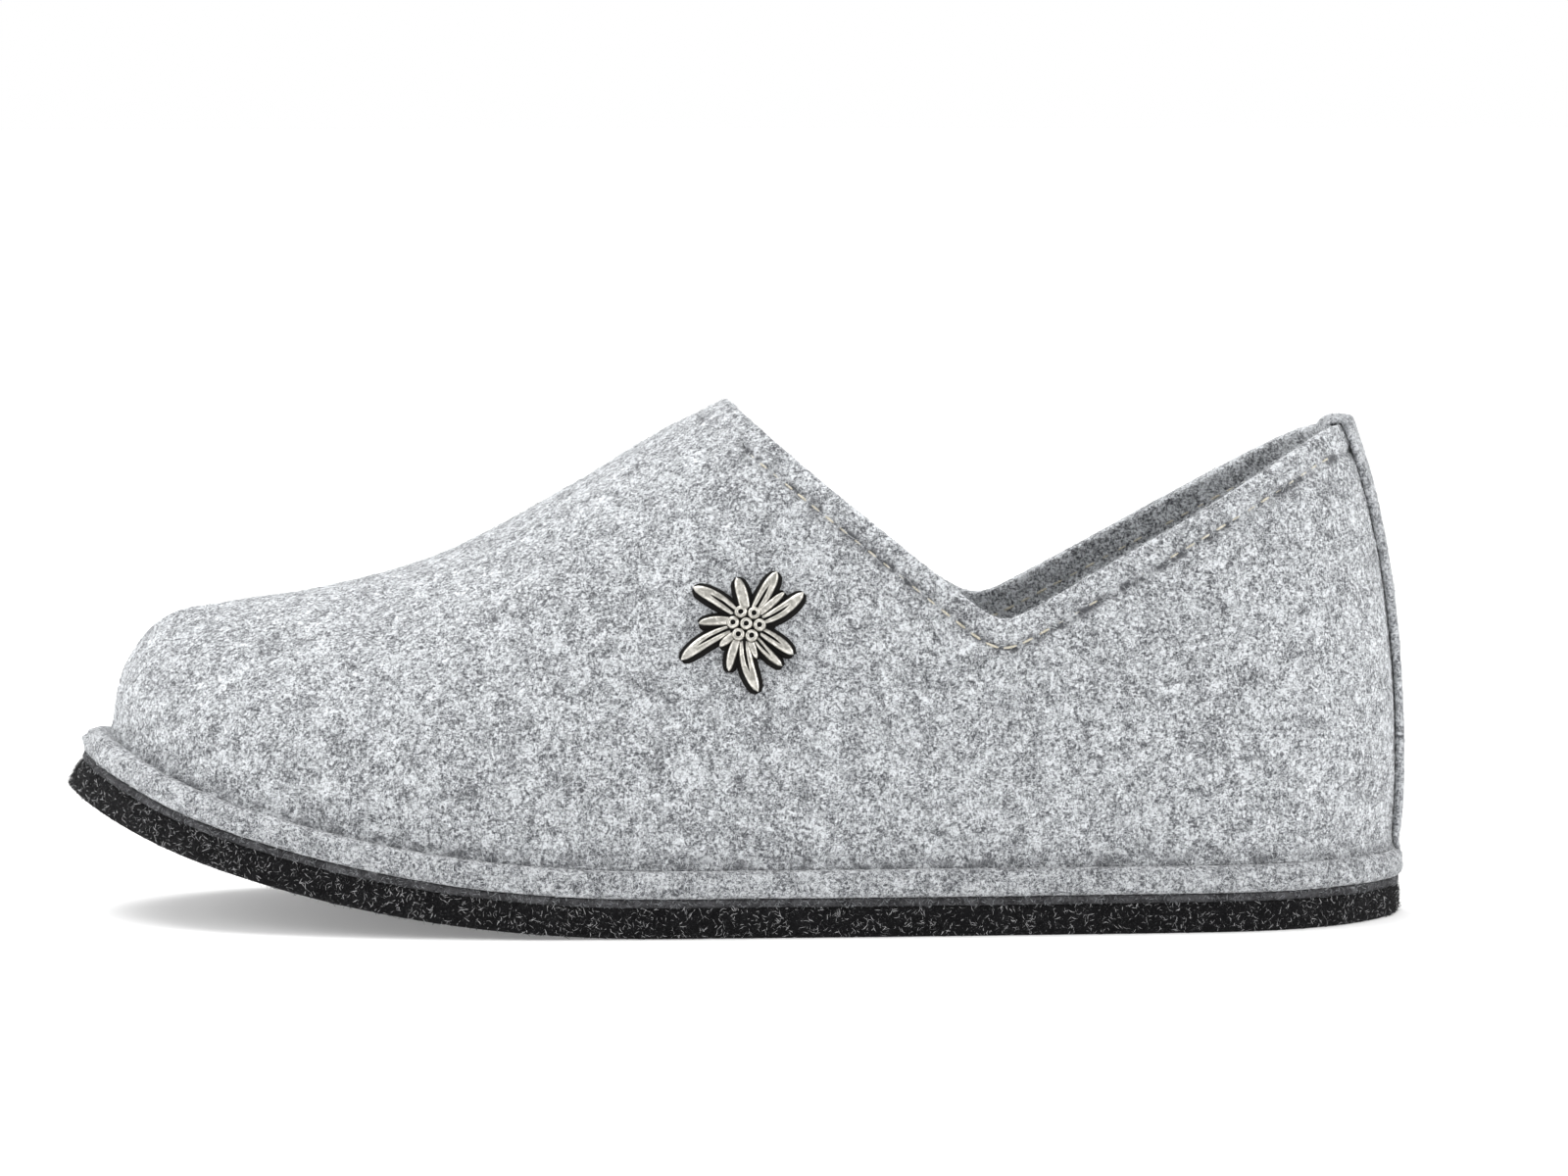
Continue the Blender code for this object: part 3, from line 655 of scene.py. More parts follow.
def outer_surface(turns, side):
    past_throat = np.clip((turns - throat_turn()) / THROAT_EASE, 0.0, 1.0)
    top = collar_climb(turns, side, RIM_CROWN * 0.8 * past_throat)
    climbs = climb_rows(top)
    turn_grid = np.broadcast_to(turns[:, None], climbs.shape)
    points = wall_point(turn_grid, side, climbs)
    normals = wall_normal(turn_grid, side, climbs)
    foot = points[:, :1, 2].copy()
    out = flare(points[..., 2] - foot, turn_grid)
    away = -inward_normal(turn_grid, side)
    points[..., :2] += away * out[..., None]
    points[..., 2] -= LIP_SINK * (1 - np.clip((points[..., 2] - foot) / FLARE_HEIGHT, 0, 1)) ** 3
    pucker_and_painted_shade = np.exp(-((stitch_distance(points, side) - STITCH_DROP) / 0.0009) ** 2)
    pucker_and_painted_shade *= np.clip((INSTEP_HEIGHT - PEAK_CALM - points[..., 2]) / PEAK_CALM, 0, 1)
    edge = np.clip(stitch_distance(points, side) / 0.003, 0, 1)
    relief = felt_relief(points.reshape(-1, 3), 1.0).reshape(pucker_and_painted_shade.shape) * (0.35 + 0.65 * edge)
    shape = relief - PUCKER_DEPTH * pucker_and_painted_shade - crease_depth(points, side)
    calm = np.clip((points[..., 2] - foot) / 0.004, 0.0, 1.0)
    points = points + normals * (shape * (0.3 + 0.7 * calm))[..., None]
    # painted shade: the stitch pucker and a band at the wall's foot (the cove) form a mask that darkens the
    # felt's colour
    cove = np.exp(-(((points[..., 2] - foot) / COVE_HEIGHT) ** 2))
    return climbs, points, np.maximum(pucker_and_painted_shade, COVE_SHADE * cove)


def build_upper():
    turns = upper_turns()
    throat = FRONT_MERIDIANS
    last = len(turns) - 1
    points, painted_shades, faces = [], [], []
    outer, rims, inner = {}, {}, {}

    def add(point, painted_shade=0.0):
        points.append(point)
        painted_shades.append(painted_shade)
        return len(points) - 1

    for side in (LATERAL, MEDIAL):
        climbs, surface, pucker_and_painted_shade = outer_surface(turns, side)
        rows = climbs.shape[1]
        inner_shares = np.linspace(1.0, 0.0, INNER_ROWS + 1)
        inner_climbs = climbs[:, -1:] * inner_shares[None, :]
        inner_grid = np.broadcast_to(turns[:, None], inner_climbs.shape)
        lining = wall_point(inner_grid, side, inner_climbs)
        lining_normal = wall_normal(inner_grid, side, inner_climbs)
        relief = felt_relief(lining.reshape(-1, 3), 5.0).reshape(inner_climbs.shape)
        lining = lining - lining_normal * (FELT_THICKNESS + 0.6 * relief)[..., None]
        small = 2e-3
        ahead = wall_point(turns + small, side, collar_climb(turns + small, side))
        behind = wall_point(turns - small, side, collar_climb(turns - small, side))
        rim_run = ahead - behind
        for index in range(last + 1):
            shared = side == MEDIAL and index in (0, last)
            if shared:
                for store in (outer, rims, inner):
                    if (index, LATERAL) in store:
                        store[index, side] = store[index, LATERAL]
                continue
            column = []
            for row in range(rows):
                crest = row == rows - 1 and index <= throat
                if crest and side == MEDIAL:
                    column.append(outer[index, LATERAL][-1])
                else:
                    column.append(add(surface[index, row], pucker_and_painted_shade[index, row]))
            outer[index, side] = column
            column = []
            for row in range(INNER_ROWS + 1):
                if row == 0 and index <= throat and side == MEDIAL:
                    column.append(inner[index, LATERAL][0])
                else:
                    column.append(add(lining[index, row]))
            inner[index, side] = column
            if index < throat:
                continue
            if index == throat and side == MEDIAL:
                rims[index, side] = rims[index, LATERAL]
                continue
            start, end = surface[index, -1], lining[index, 0]
            across = start - end
            centre = (start + end) / 2
            if index == throat:
                upward = np.array(THROAT_RIM_DIRECTION)
            else:
                upward = np.cross(rim_run[index], across) * side
                upward = upward / np.linalg.norm(upward)
            column = []
            for step in range(1, RIM_STEPS):
                angle = math.pi * step / RIM_STEPS
                along = math.copysign(abs(math.cos(angle)) ** 0.7, math.cos(angle))
                rise = math.sin(angle) ** 0.7 * RIM_CROWN
                fuzz = 0.5 * felt_relief([centre + across * along], 2.0)[0]
                column.append(add(centre + across * along / 2 + upward * (rise + fuzz)))
            rims[index, side] = column
    for side in (LATERAL, MEDIAL):
        def quad(*corners):
            corners = list(dict.fromkeys(corners))
            if len(corners) > 2:
                faces.append(corners if side == LATERAL else corners[::-1])
        for index in range(last):
            here, after = outer[index, side], outer[index + 1, side]
            for row in range(len(here) - 1):
                quad(here[row], after[row], after[row + 1], here[row + 1])
            here, after = inner[index, side], inner[index + 1, side]
            for row in range(INNER_ROWS):
                quad(here[row], after[row], after[row + 1], here[row + 1])
            quad(inner[index, side][-1], inner[index + 1, side][-1],
                 outer[index + 1, side][0], outer[index, side][0])
            if index >= throat:
                here = [outer[index, side][-1], *rims[index, side], inner[index, side][0]]
                after = [outer[index + 1, side][-1], *rims[index + 1, side], inner[index + 1, side][0]]
                for row in range(len(here) - 1):
                    quad(here[row], after[row], after[row + 1], here[row + 1])
    upper = mesh_object("upper_felt", points, faces, [light_felt])
    # painted shade: stored per point and read by the felt material to darken it
    painted_shade = upper.data.attributes.new("painted_shade", "FLOAT", "POINT")
    painted_shade.data.foreach_set("value", np.array(painted_shades, dtype=np.float32))
    return upper


upper = declare(build_upper(), "light_grey_felt", "upper")


# ---- sole layers ----

RING_POINTS = 260


def ring(inset, height):
    """Closed ring at an inset from the outline, along the outer side and back."""
    turns = math.pi * np.arange(RING_POINTS + 1) / RING_POINTS
    there = inset_point(turns, LATERAL, inset(turns))
    back = inset_point(turns[-2:0:-1], MEDIAL, inset(turns[-2:0:-1]))
    return on_sole(np.concatenate([there, back]), height)


def at_inset(amount):
    return lambda turns: np.full(np.shape(turns), amount)


def ring_stack(name, rings, material, relief, seed, closed_tube=False, calm=()):
    """Solid from rings laid one over the other. Calm rings keep their exact place."""
    count = len(rings[0])
    points = np.concatenate(rings)
    centre = points.mean(axis=0)
    out = points - centre
    out[:, 2] = 0
    out /= np.maximum(np.linalg.norm(out, axis=1, keepdims=True), 1e-9)
    bumps = felt_relief(points, seed, 1.6) * relief
    for index in calm:
        bumps[index * count:(index + 1) * count] = 0
    points = points + out * bumps[:, None]
    faces = []
    stack = list(range(len(rings))) + ([0] if closed_tube else [])
    for lower, upper_ring in zip(stack, stack[1:]):
        for index in range(count):
            after = (index + 1) % count
            faces.append((lower * count + index, lower * count + after,
                          upper_ring * count + after, upper_ring * count + index))
    if not closed_tube:
        half = count // 2
        for first, flip in ((0, True), ((len(rings) - 1) * count, False)):
            for index in range(half):
                quad = [first + index, first + index + 1,
                        first + (count - index - 1) % count, first + (count - index) % count]
                quad = list(dict.fromkeys(quad))
                if len(quad) > 2:
                    faces.append(quad[::-1] if flip else quad)
    return mesh_object(name, points, faces, [material])


def build_outsole():
    profile = ((0.0012, 0.0), (0.0006, 0.0002), (0.0002, 0.0007), (0.0, 0.0015), (0.0, 0.0024),
               (0.0, 0.0034), (0.0, 0.0044), (0.0001, 0.0053), (0.0003, OUTSOLE_THICKNESS))
    rings = [ring(at_inset(OUTSOLE_INSET + extra), height) for extra, height in profile]
    return ring_stack("outsole_felt", rings, black_felt, 2.2, 11.0, calm=(0,))


def build_midsole():
    top = MIDSOLE_BASE + MIDSOLE_THICKNESS + 0.0002
    profile = ((0.0004, MIDSOLE_BASE - 0.0002), (0.0, MIDSOLE_BASE + 0.0003),
               (0.0, top - 0.0004), (0.0003, top))
    rings = [ring(at_inset(MIDSOLE_INSET + extra), height) for extra, height in profile]
    return ring_stack("midsole_felt", rings, dark_felt, 1.2, 12.0)


def build_welt():
    """Rand of felt: upright outer face with soft corners, its top under the wall's lip."""
    def inner(turns):
        return ledge(turns) + FELT_THICKNESS
    profile = [(0.0010, WELT_BASE), (0.0004, WELT_BASE + 0.0003), (0.0, WELT_BASE + 0.0010),
               (-0.0001, WELT_BASE + 0.0020), (0.0, WELT_BASE + 0.0030), (0.0, WELT_TOP - 0.0014),
               (0.0003, WELT_TOP - 0.0006), (0.0009, WELT_TOP - 0.0001), (0.0016, WELT_TOP + 0.0001),
               (0.0024, WELT_TOP + 0.0001)]
    rings = [ring(inner, WELT_BASE)]
    rings += [ring(at_inset(extra), height) for extra, height in profile]
    rings.append(ring(inner, WELT_TOP))
    return ring_stack("rand_felt_painted_shade", rings, rand_felt_painted_shade, 1.0, 13.0, closed_tube=True, calm=(0, 11))


def build_insole():
    top = WELT_TOP + INSOLE_RISE

    def inside(extra):
        return lambda turns: ledge(turns) + FELT_THICKNESS + SEAT_GAP + extra
    steps = ((0.0, WELT_BASE), (0.0, top - 0.0014), (0.0005, top - 0.0004), (0.0014, top),
             (0.004, top - 0.3 * INSOLE_DISH), (INSOLE_SHOULDER, top - 0.55 * INSOLE_DISH),
             (0.010, top - 0.85 * INSOLE_DISH), (2 * INSOLE_SHOULDER, top - INSOLE_DISH))
    rings = [ring(inside(extra), height) for extra, height in steps]
    return ring_stack("insole_felt", rings, lining_felt, 0.6, 14.0, calm=(0, 1))


outsole = declare(build_outsole(), "black_felt", "outsole")
midsole = declare(build_midsole(), "dark_grey_felt", "midsole")
welt = declare(build_welt(), "light_grey_felt", "welt")
insole = declare(build_insole(), "light_grey_felt", "insole")


# ---- heel tape ----

def beside_seam(distance, climb):
    small = 1e-2
    step = wall_point(math.pi - small, LATERAL, climb) - wall_point(math.pi, LATERAL, climb)
    return math.pi - small * distance / np.linalg.norm(step, axis=-1)


def tape_line(distance, side):
    """Outer face of the strip over the back seam, at a distance from the seam, with the
    outward normals of the line."""
    top = 1.0
    for _ in range(5):
        top = float(collar_climb(beside_seam(distance, top), side))
    climbs = top * np.linspace(0.0, 1.0, TAPE_OUTSIDE_ROWS) ** 1.3
    turns = beside_seam(distance, climbs)
    outside = wall_point(turns, side, climbs)
    normals = wall_normal(turns, side, climbs)
    rise = outside[:, 2] - outside[0, 2]
    outside[:, :2] -= inward_normal(turns, side) * flare(rise, turns)[:, None]
    line = list(outside + normals * SEAT_GAP)
    out = list(normals)
    turn = float(beside_seam(distance, top))
    rim = wall_point(turn, side, top)
    outward = wall_normal(turn, side, top)
    small = 1e-2
    ahead = wall_point(turn + small, side, collar_climb(turn + small, side))
    behind = wall_point(turn - small, side, collar_climb(turn - small, side))
    run = (ahead - behind) / np.linalg.norm(ahead - behind)
    upward = np.cross(run, outward) * side
    upward /= np.linalg.norm(upward)
    middle = rim - outward * FELT_THICKNESS / 2
    radius = FELT_THICKNESS / 2 + SEAT_GAP
    for step in range(1, TAPE_FOLD_STEPS):
        angle = math.pi * step / TAPE_FOLD_STEPS
        line.append(middle + outward * radius * math.cos(angle) + upward * TAPE_CROWN * math.sin(angle))
        direction = outward * math.cos(angle) + upward * math.sin(angle)
        out.append(direction / np.linalg.norm(direction))
    inside_climbs = np.linspace(top, top - TAPE_INSIDE_LENGTH / HEEL_HEIGHT, TAPE_INSIDE_ROWS)
    turns = beside_seam(distance, inside_climbs)
    inner_points = wall_point(turns, side, inside_climbs)
    inner_normals = wall_normal(turns, side, inside_climbs)
    line += list(inner_points - inner_normals * (FELT_THICKNESS + SEAT_GAP))
    out += list(-inner_normals)
    return np.array(line), np.array(out)


def build_tape():
    """Strip with rounded edges: for each line across it, an outer and an inner point."""
    half = TAPE_WIDTH / 2
    spread = np.concatenate([[0.0], np.linspace(0.0008, half - 0.0007, 7), [half - 0.0002, half]])
    across = [(distance, LATERAL) for distance in spread[::-1]]
    across += [(distance, MEDIAL) for distance in spread[1:]]
    top_lines, low_lines = [], []
    for distance, side in across:
        line, out = tape_line(distance, side)
        edge = max(0.0, (distance - (half - 0.0009)) / 0.0009)
        thick = TAPE_THICKNESS * math.sqrt(max(0.0, 1 - 0.8 * edge**2))
        height = np.arange(len(line)) / TAPE_OUTSIDE_ROWS * HEEL_HEIGHT
        thick = thick * np.clip(0.30 + 0.70 * height / TAPE_FOOT_FADE, 0.30, 1.0)
        from_fold = np.abs(np.arange(len(line)) - TAPE_FOLD_ROW) / TAPE_FOLD_SPREAD
        thick = thick * (1 - (1 - TAPE_FOLD_SHARE) * np.exp(-from_fold**2))
        relief = felt_relief(line, 7.0, 1.5) * 0.9
        top_lines.append(line + out * (thick + relief)[:, None])
        low_lines.append(line)
    rows = len(top_lines[0])
    points = np.concatenate(top_lines + low_lines)
    faces = grid_faces(len(across), rows)
    below = len(across) * rows
    faces += grid_faces(len(across), rows, below, flip=True)
    for row in range(rows - 1):
        faces.append((row, row + 1, below + row + 1, below + row))
        start = (len(across) - 1) * rows
        faces.append((start + row + 1, start + row, below + start + row, below + start + row + 1))
    for column in range(len(across) - 1):
        a, b = column * rows, (column + 1) * rows
        faces.append((b, a, below + a, below + b))
        a, b = a + rows - 1, b + rows - 1
        faces.append((a, b, below + b, below + a))
    return mesh_object("heel_tape_felt", points, faces, [tape_felt_painted_shade])


heel_tape = declare(build_tape(), "light_grey_felt", "heel_tape")


# ---- nap ----

def surface_samples(thing, count, seed, keep=None):
    """Points and normals spread evenly over a mesh, or over the faces that keep wants."""
    mesh = thing.data
    mesh.calc_loop_triangles()
    corners = np.zeros(len(mesh.loop_triangles) * 3, dtype=np.int32)
    mesh.loop_triangles.foreach_get("vertices", corners)
    corners = corners.reshape(-1, 3)
    places = np.zeros(len(mesh.vertices) * 3)
    mesh.vertices.foreach_get("co", places)
    places = places.reshape(-1, 3)
    a, b, c = places[corners[:, 0]], places[corners[:, 1]], places[corners[:, 2]]
    cross = np.cross(b - a, c - a)
    area = np.linalg.norm(cross, axis=1)
    normal = cross / np.maximum(area, 1e-14)[:, None]
    if keep is not None:
        area = area * keep((a + b + c) / 3, normal)
    chance = np.random.default_rng(seed)
    chosen = chance.choice(len(area), count, p=area / area.sum())
    u, v = chance.random(count), chance.random(count)
    over = u + v > 1
    u, v = np.where(over, 1 - u, u), np.where(over, 1 - v, v)
    points = a[chosen] + (b - a)[chosen] * u[:, None] + (c - a)[chosen] * v[:, None]
    return points, normal[chosen], chance


def nap(name, thing, count, material, seed, length=(0.0010, 0.0030), width=0.00005,
        lift=(0.00003, 0.00035), standing=0.12, keep=None, slot="light_grey_felt"):
    """Short bent fibres lying on a surface, some of them standing away from it. Each is a
    blade of two quads."""
    points, normals, chance = surface_samples(thing, count, seed, keep)
    loose = chance.normal(size=(count, 3))
    along = loose - normals * (loose * normals).sum(1, keepdims=True)
    along /= np.linalg.norm(along, axis=1, keepdims=True)
    side = np.cross(normals, along)
    long = chance.uniform(length[0], length[1], count)
    bend = chance.normal(0.0, 0.55, count)
    raised = chance.uniform(lift[0], lift[1], count)
    stands = chance.random(count) < standing
    rise = np.where(stands, long * chance.uniform(0.15, 0.55, count), raised)
    start = points - along * (long * 0.5)[:, None] + normals * 0.00002
    middle = points + side * (bend * long * 0.25)[:, None] + normals * (raised + 0.00004)[:, None]
    end = points + along * (long * 0.5)[:, None] + normals * (rise + 0.00002)[:, None]
    end = end + side * (bend * long * 0.1)[:, None]
    tilt = chance.uniform(-0.6, 0.6, count) + np.where(stands, chance.uniform(-1.2, 1.2, count), 0)
    across = side * np.cos(tilt)[:, None] + normals * np.sin(tilt)[:, None]
    across *= (width * chance.uniform(0.6, 1.4, count) / 2)[:, None]
    vertices = np.stack([start - across * 0.6, start + across * 0.6, middle - across, middle + across,
                         end - across * 0.3, end + across * 0.3], 1).reshape(-1, 3)
    vertices[:, 2] = np.maximum(vertices[:, 2], 0.00003)
    base = np.arange(count)[:, None] * 6
    quads = np.concatenate([base + [[0, 1, 3, 2]], base + [[2, 3, 5, 4]]], 1).reshape(-1, 4)
    mesh = bpy.data.meshes.new(name)
    mesh.vertices.add(len(vertices))
    mesh.vertices.foreach_set("co", vertices.ravel())
    mesh.loops.add(quads.size)
    mesh.loops.foreach_set("vertex_index", quads.ravel().astype(np.int32))
    mesh.polygons.add(len(quads))
    mesh.polygons.foreach_set("loop_start", (np.arange(len(quads)) * 4).astype(np.int32))
    mesh.update(calc_edges=True)
    mesh.materials.append(material)
    mesh.shade_smooth()
    blades = bpy.data.objects.new(name, mesh)
    bpy.context.scene.collection.objects.link(blades)
    return declare(blades, slot)


def outside(centres, normals):
    """Faces of the upper's outer side and of its rim."""
    x = np.clip(centres[:, 0], x_of(0.04), x_of(0.93))
    middle = np.stack([x, CREST_ROWS(station_of(x))[:, 1] * BALL_WIDTH, np.full(len(x), 0.03)], 1)
    return ((normals * (centres - middle)).sum(1) > 0).astype(float)


def inside_mouth(centres, normals):
    """Faces of the lining that show through the mouth."""
    return (1 - outside(centres, normals)) * (centres[:, 0] > x_of(0.42)) * (centres[:, 2] > 0.02)


def sole_side(centres, normals):
    return (np.abs(normals[:, 2]) < 0.75).astype(float)


def upward_faces(centres, normals):
    return (normals[:, 2] > 0.3).astype(float)


nap("nap_pale", upper, 46000, pale_fibre, 21, keep=outside)
nap("nap_grey", upper, 20000, grey_fibre, 22, keep=outside)
nap("nap_deep", upper, 30000, deep_fibre, 23, length=(0.0006, 0.0018), width=0.000065,
    lift=(0.00002, 0.00020), standing=0.03, keep=outside)
nap("nap_lining_pale", upper, 9000, pale_fibre, 24, keep=inside_mouth)
nap("nap_lining_deep", upper, 7000, deep_fibre, 25, length=(0.0006, 0.0020), keep=inside_mouth)
nap("nap_rand_pale", welt, 10000, pale_fibre, 26, length=(0.0008, 0.0022), keep=sole_side)
nap("nap_rand_deep", welt, 8000, deep_fibre, 27, length=(0.0005, 0.0016), width=0.00006,
    standing=0.03, keep=sole_side)
nap("nap_tape_pale", heel_tape, 4200, pale_fibre, 28, length=(0.0008, 0.0024), standing=0.2)
nap("nap_tape_deep", heel_tape, 2600, deep_fibre, 29, length=(0.0006, 0.0018))
nap("nap_outsole_pale", outsole, 3400, sole_fibre, 30, length=(0.0004, 0.0014), width=0.00007,
    standing=0.3, keep=sole_side, slot="black_felt")
nap("nap_outsole_black", outsole, 16000, black_fibre, 31, length=(0.0006, 0.0024), width=0.00008,
    standing=0.45, keep=sole_side, slot="black_felt")
nap("nap_midsole", midsole, 2200, grey_fibre, 32, length=(0.0004, 0.0012), standing=0.2,
    keep=sole_side, slot="dark_grey_felt")
nap("nap_insole_pale", insole, 6000, pale_fibre, 33, keep=upward_faces)
nap("nap_insole_deep", insole, 5000, deep_fibre, 34, keep=upward_faces)


# ---- topstitch ----

THREAD_RADIUS = 0.00025
THREAD_SIDES = 6
THREAD_STEPS = 7


def stitch_path(side, count=700):
    """Points and normals of the seam line round one side of the mouth."""
    start = throat_turn(STITCH_DROP)
    share = np.linspace(0, 1, count)
    turns = start + (beside_seam(TAPE_WIDTH / 2, 0.8) - start) * share**1.6
    climbs = collar_climb(turns, side, STITCH_DROP)
    return wall_point(turns, side, climbs), wall_normal(turns, side, climbs)


def at_length(points, normals, lengths):
    run = np.concatenate([[0], np.cumsum(np.linalg.norm(np.diff(points, axis=0), axis=1))])
    place = np.stack([np.interp(lengths, run, points[:, k]) for k in range(3)], -1)
    normal = np.stack([np.interp(lengths, run, normals[:, k]) for k in range(3)], -1)
    return place, normal / np.linalg.norm(normal, axis=-1, keepdims=True)


def build_stitches():
    """Thread that dips into the felt at both ends of every stitch, outside and inside."""
    points, faces = [], []
    for side in (LATERAL, MEDIAL):
        path, path_normals = stitch_path(side)
        total = np.linalg.norm(np.diff(path, axis=0), axis=1).sum()
        for face, depth in ((1, -PUCKER_DEPTH * 0.85), (-1, -FELT_THICKNESS - 0.00005)):
            for number in range(int(total / STITCH_PITCH)):
                start = number * STITCH_PITCH + 0.0006
                lengths = start + (STITCH_PITCH - 0.0009) * np.linspace(0, 1, THREAD_STEPS)
                places, normals = at_length(path, path_normals, lengths)
                share = np.linspace(-1, 1, THREAD_STEPS)
                wave = 0.5 + 0.5 * math.sin(number * 2.3 + side)
                sink = 0.00034 * share**4 + 0.00014 * wave
                centre = places + normals * (depth - face * sink)[:, None]
                along = np.gradient(centre, axis=0)
                along /= np.linalg.norm(along, axis=1, keepdims=True)
                across = np.cross(along, normals)
                first = len(points)
                for step in range(THREAD_STEPS):
                    thin = THREAD_RADIUS * (1 - 0.45 * share[step] ** 4)
                    for corner in range(THREAD_SIDES):
                        turn = 2 * math.pi * corner / THREAD_SIDES
                        points.append(centre[step] + across[step] * thin * math.cos(turn)
                                      + normals[step] * thin * 0.8 * math.sin(turn))
                for step in range(THREAD_STEPS - 1):
                    for corner in range(THREAD_SIDES):
                        a = first + step * THREAD_SIDES + corner
                        b = first + step * THREAD_SIDES + (corner + 1) % THREAD_SIDES
                        faces.append((a, b, b + THREAD_SIDES, a + THREAD_SIDES))
                faces.append(tuple(first + corner for corner in range(THREAD_SIDES))[::-1])
                final = first + (THREAD_STEPS - 1) * THREAD_SIDES
                faces.append(tuple(final + corner for corner in range(THREAD_SIDES)))
    return mesh_object("topstitch", points, faces, [thread])


declare(build_stitches(), "light_grey_felt")


# ---- ornament ----

PETALS = (
    # angle, reach, width, curl, groove, lift
    (127, 0.530, 0.140, 0.28, 1, 0.30),
    (90, 0.406, 0.125, 0.19, 0, 0.10),
    (58, 0.517, 0.145, 0.03, 1, 0.20),
    (40, 0.420, 0.085, 0.00, 0, 0.00),
    (8, 0.510, 0.135, 0.38, 1, 0.25),
    (-23, 0.454, 0.125, -0.20, 1, 0.20),
    (-62, 0.449, 0.095, 0.20, 1, 0.10),
    (-104, 0.530, 0.140, 0.42, 1, 0.25),
    (-128, 0.400, 0.100, 0.30, 0, 0.10),
    (-170, 0.585, 0.140, 0.32, 1, 0.25),
    (160, 0.382, 0.105, 0.30, 0, 0.10),
    (-80, 0.300, 0.080, 0.10, 0, 0.00),
    (-142, 0.290, 0.090, 0.00, 0, 0.00),
)
PETAL_WIDEST = 0.62
BACKING_RADIUS = 0.0056
PETAL_ROWS = 18
PETAL_COLUMNS = 13
PETAL_HEIGHT = 0.00135
FLORET_RADIUS = 0.0013
FLORET_RING_RADIUS = 0.0026
FLORET_START = -7
FLORETS_AROUND = 6
HUB_RADIUS = 0.0040
HUB_HEIGHT = 0.0012


def wall_at(x, height):
    """Turn and climb of the place on the outer wall at x and a height."""
    def climb_at(turn):
        return last_that_holds(lambda climb: wall_point(turn, LATERAL, climb)[2] < height, 0.0, 1.0, 26)

    def before_x(turn):
        return wall_point(turn, LATERAL, climb_at(turn))[0] < x
    turn = last_that_holds(before_x, 0.0, math.pi, 26)
    return turn, climb_at(turn)


class WallFrame:
    """Places flat shapes on the outer wall: across to the heel, up, and out of it."""

    def __init__(self, x, height):
        turn, climb = wall_at(x, height)
        self.origin = Vector(wall_point(turn, LATERAL, climb))
        self.out = Vector(wall_normal(turn, LATERAL, climb))
        self.right = (Vector((1, 0, 0)) - self.out * self.out.x).normalized()
        self.up = self.out.cross(self.right)
        bpy.context.view_layer.update()
        self.wall = BVHTree.FromObject(upper, bpy.context.evaluated_depsgraph_get())

    def __call__(self, right, up, height):
        place = self.origin + self.right * right + self.up * up
        hit = self.wall.ray_cast(place + self.out * ORNAMENT_SPAN, -self.out)[0]
        near = place if hit is None else hit
        level = place + self.out * ((near - place).dot(self.out) * 0.6)
        return level + self.out * (height + SEAT_GAP)


